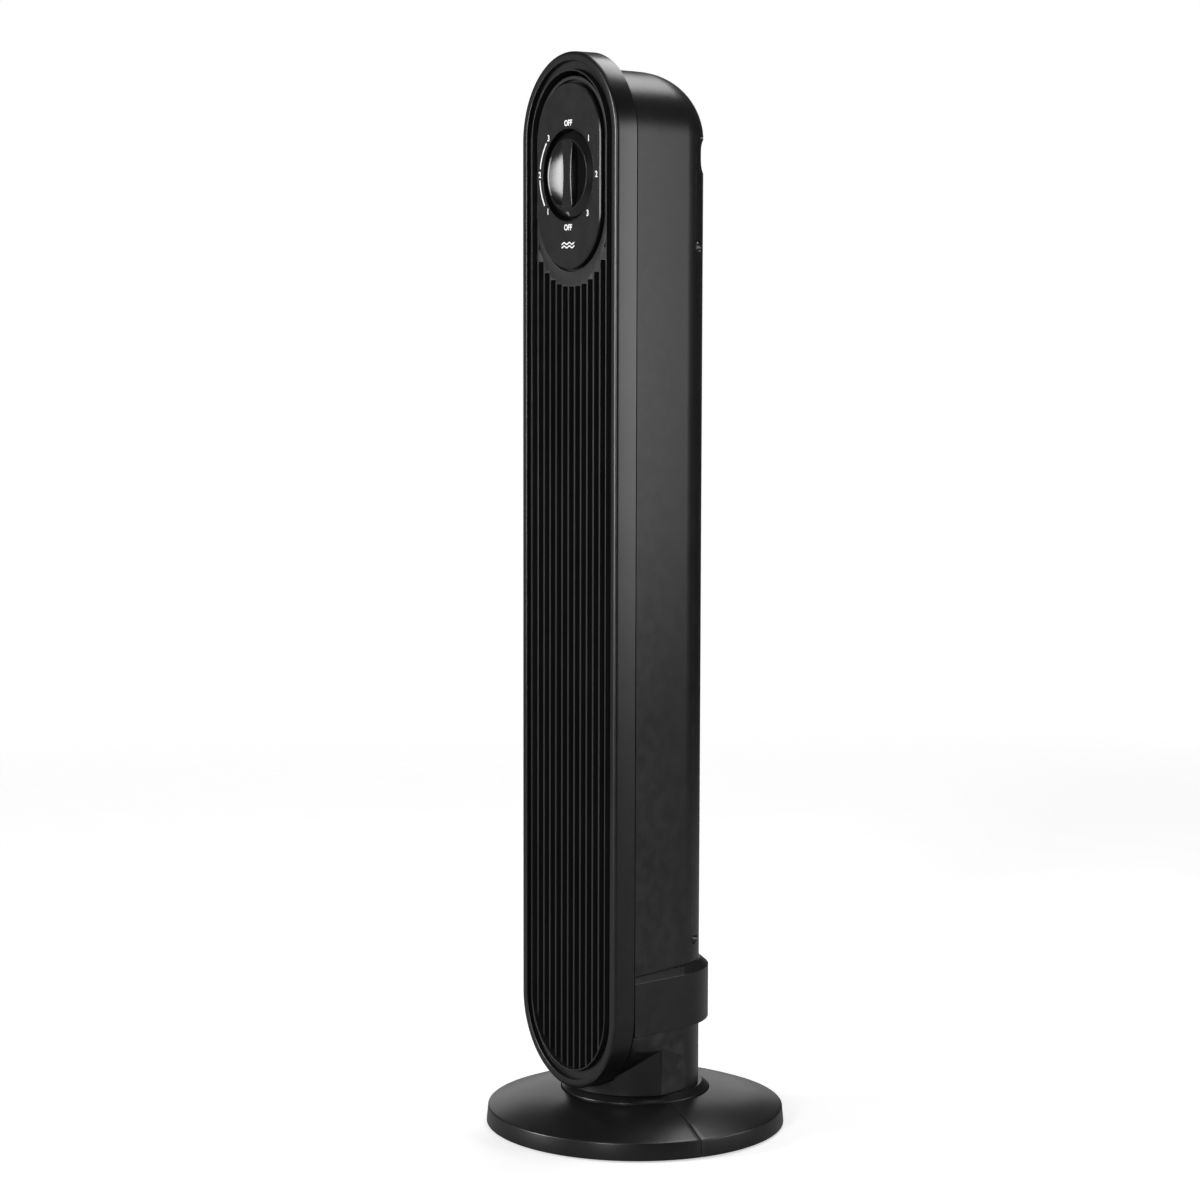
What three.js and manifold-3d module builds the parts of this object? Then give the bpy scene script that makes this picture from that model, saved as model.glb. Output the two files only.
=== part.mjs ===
// Tower fan: a slim cross-flow fan on a round two-part base, swinging from side to side.
// Millimetres, +Z up. The origin is the centre of the base on the floor, the air leaves towards -Y.
import * as THREE from "three";
import { mergeVertices } from "three/addons/utils/BufferGeometryUtils.js";
import Module from "manifold-3d";

const wasm = await Module();
wasm.setup();

// ---------------------------------------------------------------- driving dimensions
const HEIGHT = 810;
const GAP = 0.3; // left between pieces that touch
const WALL = 2.5; // moulded shells

const FACE = { radius: 63.2, front: -62.8, back: -44.8, lowCentre: 98.8 };
const FACE_TOP_CENTRE = HEIGHT - FACE.radius;
const RIM_INNER = 56.5;
const GROOVE_FLOOR = -59;
const RIDGE = { outer: 50.2, inner: 49 };
const FIN = { count: 12, pitch: 8.28, width: 2, front: -59.8, back: -50 };
// Ribs that run across behind the fins, and the small bridges that hold the plate in the ridge.
const FIN_RIB = { levels: [215, 420, 625], front: -51, back: -48.5, height: 2 };
const BRIDGE = { levels: [660, 690, 720, 750], height: 3, inset: 0.4, lap: 0.8 };
// Each slot ends under the plate in a square head, this much below and above the plate's edge.
const SLOT_HEAD = { drop: 0.3, rise: 9, inset: 0.1 };
const PLATE = { radius: 46.6, low: 685.8, high: 745.8, front: FIN.front, back: -57.6 };
const PANEL = { radius: 41.8, low: 693.4, high: 745.8 };
const DIAL = { z: 720.2, well: 33.8, knob: 31.3, crown: 26.3, crownFront: -64.1 };

const HOUSING = { rearRadius: 48.6, sideX: 61.6, sideY: -45, front: -44.5, top: 797.5, crownRadius: 50 };
const SPLIT_Z = 105; // neck below, rear housing above, both under the collar
const COLLAR = { radius: 55.8, low: 83, high: 129, bevel: 3.5 };
const SPIGOT_INSET = 1.8;
const NECK = { radius: 54.7, low: 34.6 };

const INLET = { low: 133, high: 661, from: 52, to: 128, rows: 26, pitch: 19.5, slot: 15.6, recess: 0.9 };
const GRIP = {
  low: 720, high: 751, rise: 3.5, wall: 2,
  mouthHalf: 42.5, mouthY: 52, floorHalf: 38.5, floorY: 24,
};

const BASE = { radius: 114.5, rimRadius: 113.2, rimTop: 14, low: 1.2, turn: -9.3 };
const SWIVEL = { radius: 56.4, edge: 28.2, topRadius: 51.3, top: 32.4, well: 38.5, floor: 19.5, low: 16.5 };
const GEAR = { module: 1.5, ringTeeth: 38, pinionTeeth: 12, low: 19.8, high: 27.8 };
const PINION_Y = (GEAR.module * (GEAR.ringTeeth - GEAR.pinionTeeth)) / 2;
const SPINDLE = { radius: 8, bore: 5.5 };

const WHEEL = { radius: 36.5, bladeInner: 29, low: 204, high: 630, blades: 12, discs: 3 };
const DUCT = { low: 196, high: 651, thickness: 3 };
const SHAFT_RADIUS = 3.9;

// ---------------------------------------------------------------- materials
const material = (color, roughness, metalness = 0) =>
  new THREE.MeshStandardMaterial({ color, roughness, metalness });
const BLACK = material(0x1b1b1c, 0.45);
const PANEL_BLACK = material(0x161617, 0.35);
const KNOB_BLACK = material(0x131314, 0.25);
const INNER_BLACK = material(0x0e0e0e, 0.6);
const RUBBER = material(0x151515, 0.9);
const STEEL = material(0xa8abb0, 0.35, 0.9);
const ZINC = material(0x8c8f94, 0.45, 0.8);
const ACETAL = material(0xe4e2da, 0.5);
const BRONZE = material(0xa77b45, 0.5, 0.7);
const CREAM = material(0xd8d2c0, 0.6);

// ---------------------------------------------------------------- solids
const degrees = THREE.MathUtils.degToRad;

// A closed geometry as a manifold solid, facing outwards.
function solid(geometry) {
  const bare = geometry.clone();
  bare.deleteAttribute("normal");
  bare.deleteAttribute("uv");
  const merged = mergeVertices(bare, 1e-4);
  const index = Array.from(merged.index.array);
  const kept = [];
  for (let i = 0; i < index.length; i += 3) {
    const [a, b, c] = index.slice(i, i + 3);
    if (a !== b && b !== c && c !== a) kept.push(a, b, c);
  }
  const build = (triangles) =>
    new wasm.Manifold(
      new wasm.Mesh({
        numProp: 3,
        vertProperties: merged.attributes.position.array,
        triVerts: new Uint32Array(triangles),
      }),
    );
  const made = build(kept);
  return made.volume() < 0 ? build(kept.reverse()) : made;
}

const union = (pieces) => pieces.reduce((a, b) => a.add(b));
const cut = (body, ...tools) => tools.reduce((a, b) => a.subtract(b), body);

function box(x0, x1, y0, y1, z0, z1) {
  const geometry = new THREE.BoxGeometry(x1 - x0, y1 - y0, z1 - z0);
  return solid(geometry.translate((x0 + x1) / 2, (y0 + y1) / 2, (z0 + z1) / 2));
}

const sidesFor = (radius) => THREE.MathUtils.clamp(2 * Math.round(radius * 0.45), 12, 32);

// A cylinder about a vertical axis.
function post(radius, z0, z1, x = 0, y = 0, sides = sidesFor(radius)) {
  const geometry = new THREE.CylinderGeometry(radius, radius, z1 - z0, sides);
  return solid(geometry.rotateX(Math.PI / 2).translate(x, y, (z0 + z1) / 2));
}

// A cylinder about an axis that runs front to back.
function postY(radius, y0, y1, x, z, sides = sidesFor(radius)) {
  const geometry = new THREE.CylinderGeometry(radius, radius, y1 - y0, sides);
  return solid(geometry.translate(x, (y0 + y1) / 2, z));
}

// A profile of [radius, z] turned about the vertical axis.
function turned(profile, sides = 48) {
  const points = [...profile, profile[0]].map(([r, z]) => new THREE.Vector2(r, z));
  return solid(new THREE.LatheGeometry(points, sides).rotateX(Math.PI / 2));
}

// A profile of [radius, y] turned about a front-to-back axis at height z.
function turnedY(profile, z, sides) {
  const points = [...profile, profile[0]].map(([r, y]) => new THREE.Vector2(r, y));
  return solid(new THREE.LatheGeometry(points, sides).translate(0, 0, z));
}

// An outline of [x, y] raised from z0 to z1.
function prism(outline, z0, z1) {
  const shape = new THREE.Shape(outline.map(([x, y]) => new THREE.Vector2(x, y)));
  const geometry = new THREE.ExtrudeGeometry(shape, { depth: z1 - z0, bevelEnabled: false });
  return solid(geometry.translate(0, 0, z0));
}

// An outline of [x, z] drawn from y0 back to y1.
function prismY(outline, y0, y1) {
  const shape = new THREE.Shape(outline.map(([x, z]) => new THREE.Vector2(x, z)));
  const geometry = new THREE.ExtrudeGeometry(shape, { depth: y1 - y0, bevelEnabled: false });
  return solid(geometry.rotateX(Math.PI / 2).translate(0, y1, 0));
}

// A skin over convex sections that all have the same number of corners, closed at both ends.
function loft(sections) {
  const corners = sections[0].length;
  const index = [];
  for (let s = 0; s + 1 < sections.length; s++) {
    for (let i = 0; i < corners; i++) {
      const a = s * corners + i;
      const b = s * corners + ((i + 1) % corners);
      index.push(a, b, b + corners, a, b + corners, a + corners);
    }
  }
  const last = (sections.length - 1) * corners;
  for (let i = 1; i + 1 < corners; i++) {
    index.push(0, i + 1, i);
    index.push(last, last + i, last + i + 1);
  }
  const geometry = new THREE.BufferGeometry();
  geometry.setAttribute("position", new THREE.Float32BufferAttribute(sections.flat(2), 3));
  return solid(geometry.setIndex(index));
}

// ---------------------------------------------------------------- outlines
const ARC_STEPS = 12;

// Points on an arc, both ends included, angles in degrees.
function arc(cx, cy, radius, from, to, steps) {
  return Array.from({ length: steps + 1 }, (_, i) => {
    const angle = degrees(from + ((to - from) * i) / steps);
    return [cx + radius * Math.cos(angle), cy + radius * Math.sin(angle)];
  });
}

// The upright outline with round ends that the whole face follows, as [x, z].
const stadium = (radius, low = FACE.lowCentre, high = FACE_TOP_CENTRE) => [
  ...arc(0, high, radius, 0, 180, ARC_STEPS),
  ...arc(0, low, radius, 180, 360, ARC_STEPS),
];
const stadiumAt = (y, ...sizes) => stadium(...sizes).map(([x, z]) => [x, y, z]);

// The plan of a shell: round at the rear, with flat sides that open towards the front, as [x, y].
function shellPlan(rearRadius, sideX, inset, front, steps = 18) {
  const reach = Math.hypot(sideX, HOUSING.sideY);
  const lean = Math.atan2(HOUSING.sideY, sideX) + Math.acos(rearRadius / reach);
  const radius = rearRadius - inset;
  const frontX = (radius - front * Math.sin(lean)) / Math.cos(lean);
  const turn = THREE.MathUtils.radToDeg(lean);
  return [[frontX, front], ...arc(0, 0, radius, turn, 180 - turn, steps), [-frontX, front]];
}
const housingPlan = (inset, front = HOUSING.front) =>
  shellPlan(HOUSING.rearRadius, HOUSING.sideX, inset, front);

// The housing's upright body with its domed top, every wall moved in by inset.
function housingBody(inset, low, front) {
  const radius = HOUSING.crownRadius - inset;
  const start = HOUSING.top - HOUSING.crownRadius;
  const depth = HOUSING.rearRadius - inset - front;
  const plan = housingPlan(inset, front);
  const halfWidth = plan[0][0];
  const sections = [plan.map(([x, y]) => [x, y, low])];
  for (const [run, rise] of arc(0, 0, radius, 0, 85, 6)) {
    const drawn = radius - run;
    const scaleX = 1 - drawn / halfWidth;
    const scaleY = 1 - drawn / depth;
    sections.push(plan.map(([x, y]) => [x * scaleX, front + (y - front) * scaleY, start + rise]));
  }
  return loft(sections);
}

// A thin upright sheet that follows a line of [x, y] points.
function sheet(line, thickness, z0, z1) {
  const side = (sign) =>
    line.map(([x, y], i) => {
      const [ax, ay] = line[Math.max(i - 1, 0)];
      const [bx, by] = line[Math.min(i + 1, line.length - 1)];
      const length = Math.hypot(bx - ax, by - ay);
      const offset = (sign * thickness) / 2 / length;
      return [x - (by - ay) * offset, y + (bx - ax) * offset];
    });
  return prism([...side(1), ...side(-1).reverse()], z0, z1);
}

// A wedge of the plane between two directions, as [x, y].
const wedge = (inner, outer, from, to) => [
  ...arc(0, 0, outer, from, to, 1),
  ...arc(0, 0, inner, to, from, 1),
];

const ring = (outer, inner, z0, z1) => cut(post(outer, z0, z1), post(inner, z0 - 1, z1 + 1));

// ---------------------------------------------------------------- base
const SEAM_HALF_GAP = 0.2;
const LEDGE = { inner: 40, low: 13.2, high: 16.2 };
const BASE_SCREW = { ring: 48, shank: 1.6, head: 3.6 };
const BASE_SCREW_TURNS = [45, 135, 225, 315];
const FOOT = { ring: 101, radius: 6.5, height: 1.3 };
const FOOT_TURNS = [-150, -90, -30, 30, 90, 150];
const COLLAR_HOLE = 57;
const DOME = { high: 27.4, swell: 2.4, steps: 4 };

const polar = (radius, turn) => [radius * Math.cos(degrees(turn)), radius * Math.sin(degrees(turn))];

// The upper surface of the base from the rim in to the swivel, lowered by drop.
function domeLine(outerRadius, innerRadius, drop) {
  return Array.from({ length: DOME.steps + 1 }, (_, i) => {
    const part = i / DOME.steps;
    const radius = THREE.MathUtils.lerp(outerRadius, innerRadius, part);
    const height = THREE.MathUtils.lerp(BASE.rimTop, DOME.high, part);
    return [radius, height + DOME.swell * Math.sin(Math.PI * part) - drop];
  });
}

function baseShell() {
  const shell = turned(
    [
      [BASE.radius, BASE.low],
      ...domeLine(BASE.rimRadius, COLLAR_HOLE, 0),
      [COLLAR_HOLE, LEDGE.high],
      [LEDGE.inner, LEDGE.high],
      [LEDGE.inner, LEDGE.low],
      [COLLAR_HOLE + WALL, LEDGE.low],
      ...domeLine(BASE.rimRadius - WALL, COLLAR_HOLE + WALL, WALL).reverse(),
      [BASE.radius - WALL, BASE.low],
    ],
    48,
  );
  const posts = FOOT_TURNS.map((turn) => {
    const [x, y] = polar(FOOT.ring, turn);
    return post(FOOT.radius + 1, FOOT.height + GAP, BASE.rimTop, x, y, 12);
  });
  const ribs = [-165, -15, 15, 165].map((turn) =>
    solid(
      new THREE.BoxGeometry(52, 2, 10)
        .translate(BASE.rimRadius - 28, 0, 9)
        .rotateZ(degrees(turn)),
    ),
  );
  const holes = BASE_SCREW_TURNS.map((turn) => {
    const [x, y] = polar(BASE_SCREW.ring, turn);
    return post(BASE_SCREW.shank + GAP, 5, 20, x, y);
  });
  return cut(union([shell, ...posts, ...ribs]), ...holes);
}

function baseHalves() {
  const whole = baseShell();
  const reach = BASE.radius + 10;
  const front = box(-reach, reach, -reach, -SEAM_HALF_GAP, -5, 60);
  const rear = box(-reach, reach, SEAM_HALF_GAP, reach, -5, 60);
  return { front: whole.intersect(front), rear: whole.intersect(rear) };
}

const foot = (turn) => post(FOOT.radius, 0, FOOT.height, ...polar(FOOT.ring, turn), 14);

function baseScrew(turn) {
  const [x, y] = polar(BASE_SCREW.ring, turn);
  const headTop = LEDGE.low - GAP;
  const head = post(BASE_SCREW.head, headTop - 2, headTop, x, y);
  const socket = post(1.5, headTop - 3, headTop - 1, x, y, 6);
  return cut(head.add(post(BASE_SCREW.shank, headTop - 1, 18.6, x, y)), socket);
}

function swivelRing() {
  const body = turned(
    [
      [SWIVEL.radius, SWIVEL.low],
      [SWIVEL.radius, SWIVEL.edge],
      [SWIVEL.topRadius, SWIVEL.top],
      [SWIVEL.well, SWIVEL.top],
      [SWIVEL.well, SWIVEL.floor],
      [SPINDLE.radius + 0.6, SWIVEL.floor],
      [SPINDLE.radius + 0.6, SWIVEL.low],
    ],
    40,
  );
  const holes = BASE_SCREW_TURNS.map((turn) => {
    const [x, y] = polar(BASE_SCREW.ring, turn + BASE.turn);
    return post(BASE_SCREW.shank + GAP, SWIVEL.low - 1, 19.2, x, y);
  });
  return cut(body, ...holes);
}

// The toothed sector on the swivel's floor: gaps between teeth sit at 90 degrees and every pitch from it.
function gearSector() {
  const pitch = 360 / GEAR.ringTeeth;
  const pitchRadius = (GEAR.module * GEAR.ringTeeth) / 2;
  const [first, last] = [-7, 5];
  const root = { radius: pitchRadius + 2.1, halfGap: 0.95 };
  const tip = { radius: pitchRadius - 1.4, halfGap: 1.8 };
  const at = ({ radius, halfGap }, turn, sign) =>
    polar(radius, turn + sign * THREE.MathUtils.radToDeg(halfGap / radius));
  const teeth = [];
  for (let k = first; k <= last; k++) {
    const turn = 90 + k * pitch;
    teeth.push(at(tip, turn, -1), at(root, turn, -1), at(root, turn, 1), at(tip, turn, 1));
  }
  const from = 90 + (first - 0.7) * pitch;
  const to = 90 + (last + 0.7) * pitch;
  const outline = [polar(tip.radius, from), ...teeth, ...arc(0, 0, 35, to, from, 16)];
  outline.splice(outline.length - 17, 0, polar(tip.radius, to));
  return prism(outline, GEAR.low, GEAR.high);
}

function swingPinion() {
  const radius = (GEAR.module * GEAR.pinionTeeth) / 2;
  const outline = [];
  for (let k = 0; k < GEAR.pinionTeeth; k++) {
    const turn = 90 + (k * 360) / GEAR.pinionTeeth;
    outline.push(polar(radius - 1.9, turn - 9), polar(radius, turn - 6.3), polar(radius + 1.3, turn - 2.6));
    outline.push(polar(radius + 1.3, turn + 2.6), polar(radius, turn + 6.3), polar(radius - 1.9, turn + 9));
  }
  const shifted = outline.map(([x, y]) => [x, y + PINION_Y]);
  const gear = prism(shifted, GEAR.low + 0.8, GEAR.high + 0.8);
  return gear.add(post(3.2, GEAR.low + 0.8, 44, 0, PINION_Y));
}

// ---------------------------------------------------------------- swivel, carried by the tower
const TURNTABLE = { radius: 45.8, low: 34.9, high: 37.9, front: -41.6 };

function turntable() {
  const disc = post(TURNTABLE.radius, TURNTABLE.low, TURNTABLE.high, 0, 0, 40);
  const clipped = disc.intersect(box(-60, 60, TURNTABLE.front, 60, 0, 60));
  const body = clipped.add(post(SPINDLE.radius, 10.6, TURNTABLE.low + 1, 0, 0, 20));
  const bore = post(SPINDLE.bore, 0, 60, 0, 0, 16);
  return cut(body, bore, post(4.2, 30, 40, 0, PINION_Y));
}

const retainingPlate = () => ring(24, SPINDLE.radius + GAP, 13.9, 15.9);

function spindleNut() {
  const hexagon = post(14, 10.9, 13.6, 0, 0, 6);
  return cut(hexagon, post(SPINDLE.radius + GAP, 0, 20, 0, 0, 20));
}

const thrustRing = () => ring(47, 40, SWIVEL.top + GAP, TURNTABLE.low - GAP);

// ---------------------------------------------------------------- neck, collar and rear housing
const LATCH = { turn: 54, width: 2, depth: 1.2, low: 59 };
const GLAND = { z: 67, radius: 6.2, bore: 3.5, flange: 8.4 };
const COLLAR_SCREW = { x: 20, z: 94, head: 3.4, shank: 1.5, tip: 38, seat: 49.8, top: 51.8 };

const collarScrewHole = (side) =>
  postY(COLLAR_SCREW.shank + GAP, 30, 60, side * COLLAR_SCREW.x, COLLAR_SCREW.z);

function neckShell() {
  const tall = SPLIT_Z + 10;
  const body = prism(housingPlan(0), NECK.low, SPLIT_Z);
  const rounded = body.intersect(prismY(stadium(HOUSING.sideX - 0.1), -60, 60));
  const column = prism(housingPlan(0, -60), NECK.low, SPLIT_Z).intersect(
    post(NECK.radius, NECK.low, SPLIT_Z),
  );
  const underFace = prismY(stadium(FACE.radius + GAP), -80, HOUSING.front);
  const outer = rounded.add(column.subtract(underFace));
  const insidePlan = prism(housingPlan(WALL, -42), 0, tall);
  const inside = insidePlan.intersect(
    prismY(stadium(HOUSING.sideX - WALL), -60, 60).add(post(NECK.radius - WALL, 0, tall)),
  );
  const spigot = cut(
    prism(housingPlan(-10, -90), COLLAR.low - GAP, tall),
    prism(housingPlan(SPIGOT_INSET), 0, tall + 10),
  );
  const deepInside = prism(housingPlan(SPIGOT_INSET + WALL, -42), COLLAR.low - WALL, tall);
  const hollow = cut(inside, box(-90, 90, -90, 90, COLLAR.low - WALL, tall + 1)).add(deepInside);
  const latches = [LATCH.turn, 180 - LATCH.turn].map((turn) =>
    solid(
      new THREE.BoxGeometry(6, LATCH.width, COLLAR.low - LATCH.low)
        .translate(HOUSING.rearRadius - LATCH.depth + 3, 0, (COLLAR.low + LATCH.low) / 2)
        .rotateZ(degrees(turn)),
    ),
  );
  const glandHole = postY(GLAND.radius + GAP, 30, 60, 0, GLAND.z);
  const screwHoles = [-1, 1].map(collarScrewHole);
  return cut(outer, hollow, spigot, ...latches, glandHole, ...screwHoles);
}

function cableGland() {
  const profile = [
    [GLAND.bore, 43],
    [GLAND.radius, 43],
    [GLAND.radius, 49],
    [GLAND.flange, 49],
    [GLAND.flange - 1, 51],
    [GLAND.bore, 51],
  ];
  return turnedY(profile, GLAND.z, 20);
}

function rearCollar() {
  const plan = (inset) => shellPlan(COLLAR.radius - inset, HOUSING.sideX - 0.1, 0, HOUSING.front);
  const top = shellPlan(COLLAR.radius - 2.2, HOUSING.sideX - 0.7, 0, HOUSING.front);
  const lift = (outline, z) => outline.map(([x, y]) => [x, y, z]);
  const outer = loft([
    lift(plan(0), COLLAR.low),
    lift(plan(0), COLLAR.high - COLLAR.bevel),
    lift(plan(0.7), COLLAR.high - COLLAR.bevel / 3),
    lift(top, COLLAR.high),
  ]);
  const inner = prism(housingPlan(SPIGOT_INSET - GAP, -70), COLLAR.low - 5, COLLAR.high + 5);
  const screwHoles = [-1, 1].map((s) =>
    postY(COLLAR_SCREW.head + GAP, COLLAR_SCREW.seat, 60, s * COLLAR_SCREW.x, COLLAR_SCREW.z).add(
      collarScrewHole(s),
    ),
  );
  return cut(outer, inner, ...screwHoles);
}

function collarScrew(side) {
  const { z, head, shank, tip, seat, top } = COLLAR_SCREW;
  const x = side * COLLAR_SCREW.x;
  const bar = (halfX, halfZ) => box(x - halfX, x + halfX, top - 0.8, top + 1, z - halfZ, z + halfZ);
  const body = postY(head, seat + GAP, top, x, z).add(postY(shank, tip, top - 0.8, x, z));
  return cut(body, bar(0.4, 2), bar(2, 0.4));
}

// Long screws run forward from the rear inside tubes and hold the face to the rear housing.
const TUBE = { x: 40, radius: 4.2, bore: 3.1, floor: -38, levels: [146, 668] };
const TUBE_PLACES = TUBE.levels.flatMap((z) => [-TUBE.x, TUBE.x].map((x) => [x, z]));

function rearHousing() {
  const spigotPlan = housingPlan(SPIGOT_INSET);
  const above = COLLAR.high + GAP;
  const shoulder = loft([
    spigotPlan.map(([x, y]) => [x, y, SPLIT_Z + GAP]),
    spigotPlan.map(([x, y]) => [x, y, above + 2]),
  ]);
  const outer = housingBody(0, above, HOUSING.front).add(shoulder);
  const inner = housingBody(WALL, above + 1.5, -60);
  const innerSpigot = prism(housingPlan(SPIGOT_INSET + WALL, -60), SPLIT_Z - 5, above + 5);
  const inletHole = prism(wedge(30, 70, INLET.from, INLET.to), INLET.low, INLET.high);
  const tubes = TUBE_PLACES.map(([x, z]) => postY(TUBE.radius, TUBE.floor - 2, 30, x, z, 12));
  const rearCut = housingBody(0.8, 50, -60);
  const shell = cut(outer, inner, innerSpigot, inletHole);
  const withTubes = shell.add(union(tubes).intersect(rearCut));
  const bores = TUBE_PLACES.map(([x, z]) =>
    postY(TUBE.bore, TUBE.floor, 60, x, z).add(postY(1.9, -50, 60, x, z)),
  );
  return cut(withTubes, ...bores, gripBlock(GAP));
}

function housingScrew([x, z]) {
  const head = postY(2.7, TUBE.floor + GAP, TUBE.floor + 2.2, x, z);
  const shank = postY(1.5, BAR_FRONT + 1, TUBE.floor + 1, x, z);
  const slot = box(x - 2, x + 2, TUBE.floor + 1.5, TUBE.floor + 3, z - 0.4, z + 0.4);
  return cut(head.add(shank), slot);
}

// The hand grip: a pocket that narrows inwards, grown on all sides by extra.
function gripBlock(extra) {
  const section = (y, halfWidth, low, high) => [
    [halfWidth + extra, y, low - extra],
    [halfWidth + extra, y, high + extra],
    [-halfWidth - extra, y, high + extra],
    [-halfWidth - extra, y, low - extra],
  ];
  return loft([
    section(GRIP.mouthY, GRIP.mouthHalf, GRIP.low, GRIP.high),
    section(GRIP.floorY - extra, GRIP.floorHalf, GRIP.low + GRIP.rise, GRIP.high - GRIP.rise),
  ]);
}

function handleCup() {
  const outer = gripBlock(0).intersect(housingBody(0.5, 600, -60));
  const pocket = gripBlock(-GRIP.wall);
  return cut(outer, pocket);
}

function rearGrille() {
  const facets = 5;
  const outline = [
    ...arc(0, 0, HOUSING.rearRadius - INLET.recess, INLET.from + 0.6, INLET.to - 0.6, facets),
    ...arc(0, 0, HOUSING.rearRadius - WALL, INLET.to - 0.6, INLET.from + 0.6, facets),
  ];
  const panel = prism(outline, INLET.low + 0.4, INLET.high - 0.4);
  const slots = [];
  for (let row = 0; row < INLET.rows; row++) {
    const low = INLET.low + 3 + row * INLET.pitch;
    slots.push(prism(wedge(40, 60, 56, 87.5), low, low + INLET.slot));
    slots.push(prism(wedge(40, 60, 92.5, 124), low, low + INLET.slot));
  }
  return cut(panel, union(slots));
}

// ---------------------------------------------------------------- face
const BAR_FRONT = -49.6; // the bars behind the grille that take the long screws

function frontBezel() {
  const outer = loft([
    stadiumAt(FACE.back, FACE.radius),
    stadiumAt(FACE.front + 2.6, FACE.radius),
    stadiumAt(FACE.front + 0.8, FACE.radius - 0.8),
    stadiumAt(FACE.front, FACE.radius - 2.6),
  ]);
  const mouth = prismY(stadium(RIM_INNER), FACE.front - 1, GROOVE_FLOOR);
  const through = prismY(stadium(RIDGE.outer + 0.4), GROOVE_FLOOR - 1, -40);
  const hollow = prismY(stadium(FACE.radius - WALL), GROOVE_FLOOR + 2.2, FACE.back - 2);
  const crown = HOUSING.crownRadius - WALL - 0.6;
  const backOpening = [
    ...arc(HOUSING.sideX - HOUSING.crownRadius, HOUSING.top - HOUSING.crownRadius, crown, 0, 90, 10),
    ...arc(HOUSING.crownRadius - HOUSING.sideX, HOUSING.top - HOUSING.crownRadius, crown, 90, 180, 10),
    ...arc(0, FACE.lowCentre, HOUSING.sideX - WALL - 0.6, 180, 360, ARC_STEPS),
  ];
  const back = prismY(backOpening, FACE.back - 5, FACE.back + 5);
  const posts = TUBE_PLACES.map(([x, z]) => {
    const side = Math.sign(x) * (FACE.radius - 3);
    const bar = box(Math.min(x, side), Math.max(x, side), BAR_FRONT, FACE.back, z - 4, z + 4);
    const clear = postY(1.9, BAR_FRONT - 1, -30, x, z);
    return cut(bar.add(postY(4, BAR_FRONT, TUBE.floor - 3.2, x, z, 12)), clear);
  });
  return cut(outer, mouth, through, hollow, back).add(union(posts));
}

// The middle of each fin across the face.
const finPlaces = Array.from({ length: FIN.count }, (_, i) => (i - (FIN.count - 1) / 2) * FIN.pitch);

// Square heads that close the slots under the plate, stepped from slot to slot.
function slotHeads() {
  const { drop, rise, inset } = SLOT_HEAD;
  return finPlaces.slice(1).map((right, i) => {
    const left = finPlaces[i];
    const nearest = left < 0 && right > 0 ? 0 : Math.min(Math.abs(left), Math.abs(right));
    const edge = PLATE.low - Math.sqrt(PLATE.radius ** 2 - nearest ** 2);
    return box(left, right, PLATE.front + inset, PLATE.back - inset, edge - drop, edge + rise);
  });
}

function frontGrille() {
  const inRidge = RIDGE.inner + 0.6;
  const ridge = cut(
    prismY(stadium(RIDGE.outer), FACE.front, FIN.back).add(
      prismY(stadium(RIM_INNER - 1.7), GROOVE_FLOOR + 2.5, GROOVE_FLOOR + 4.5),
    ),
    prismY(stadium(RIDGE.inner), -80, 0),
  );
  const fins = finPlaces.map((x) =>
    box(x - FIN.width / 2, x + FIN.width / 2, FIN.front, FIN.back, 40, PLATE.low),
  );
  const ribs = FIN_RIB.levels.map((z) =>
    box(-RIM_INNER, RIM_INNER, FIN_RIB.front, FIN_RIB.back, z, z + FIN_RIB.height),
  );
  const grid = union([...fins, ...ribs]).intersect(prismY(stadium(inRidge), -80, 0));
  const plate = prismY(stadium(PLATE.radius, PLATE.low, PLATE.high), PLATE.front, PLATE.back);
  const bridgeInner = PLATE.radius - BRIDGE.lap;
  const bridgeFront = PLATE.front + BRIDGE.inset;
  const bridges = BRIDGE.levels.flatMap((z) => [
    box(bridgeInner, inRidge, bridgeFront, PLATE.back, z, z + BRIDGE.height),
    box(-inRidge, -bridgeInner, bridgeFront, PLATE.back, z, z + BRIDGE.height),
  ]);
  const opening = prismY(stadium(PANEL.radius + 2, PANEL.low, PANEL.high), -80, 0);
  const finRelief = prismY(stadium(PANEL.radius + 4, PANEL.low, PANEL.high), PLATE.back, 0);
  return cut(union([ridge, grid, plate, ...slotHeads(), ...bridges]), opening, finRelief);
}

function controlPanel() {
  const { radius, low, high } = PANEL;
  const body = loft([
    stadiumAt(-55.5, radius, low, high),
    stadiumAt(FACE.front + 1, radius, low, high),
    stadiumAt(FACE.front, radius - 1, low, high),
  ]);
  const flange = prismY(stadium(radius + 3.4, low, high), PLATE.back + GAP, -55.5);
  const cup = postY(DIAL.well + 1.8, -57, -52, 0, DIAL.z, 36);
  const well = postY(DIAL.well, -80, -54, 0, DIAL.z, 36);
  return cut(union([body, flange, cup]), well, postY(3.6, -80, -40, 0, DIAL.z));
}

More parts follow.
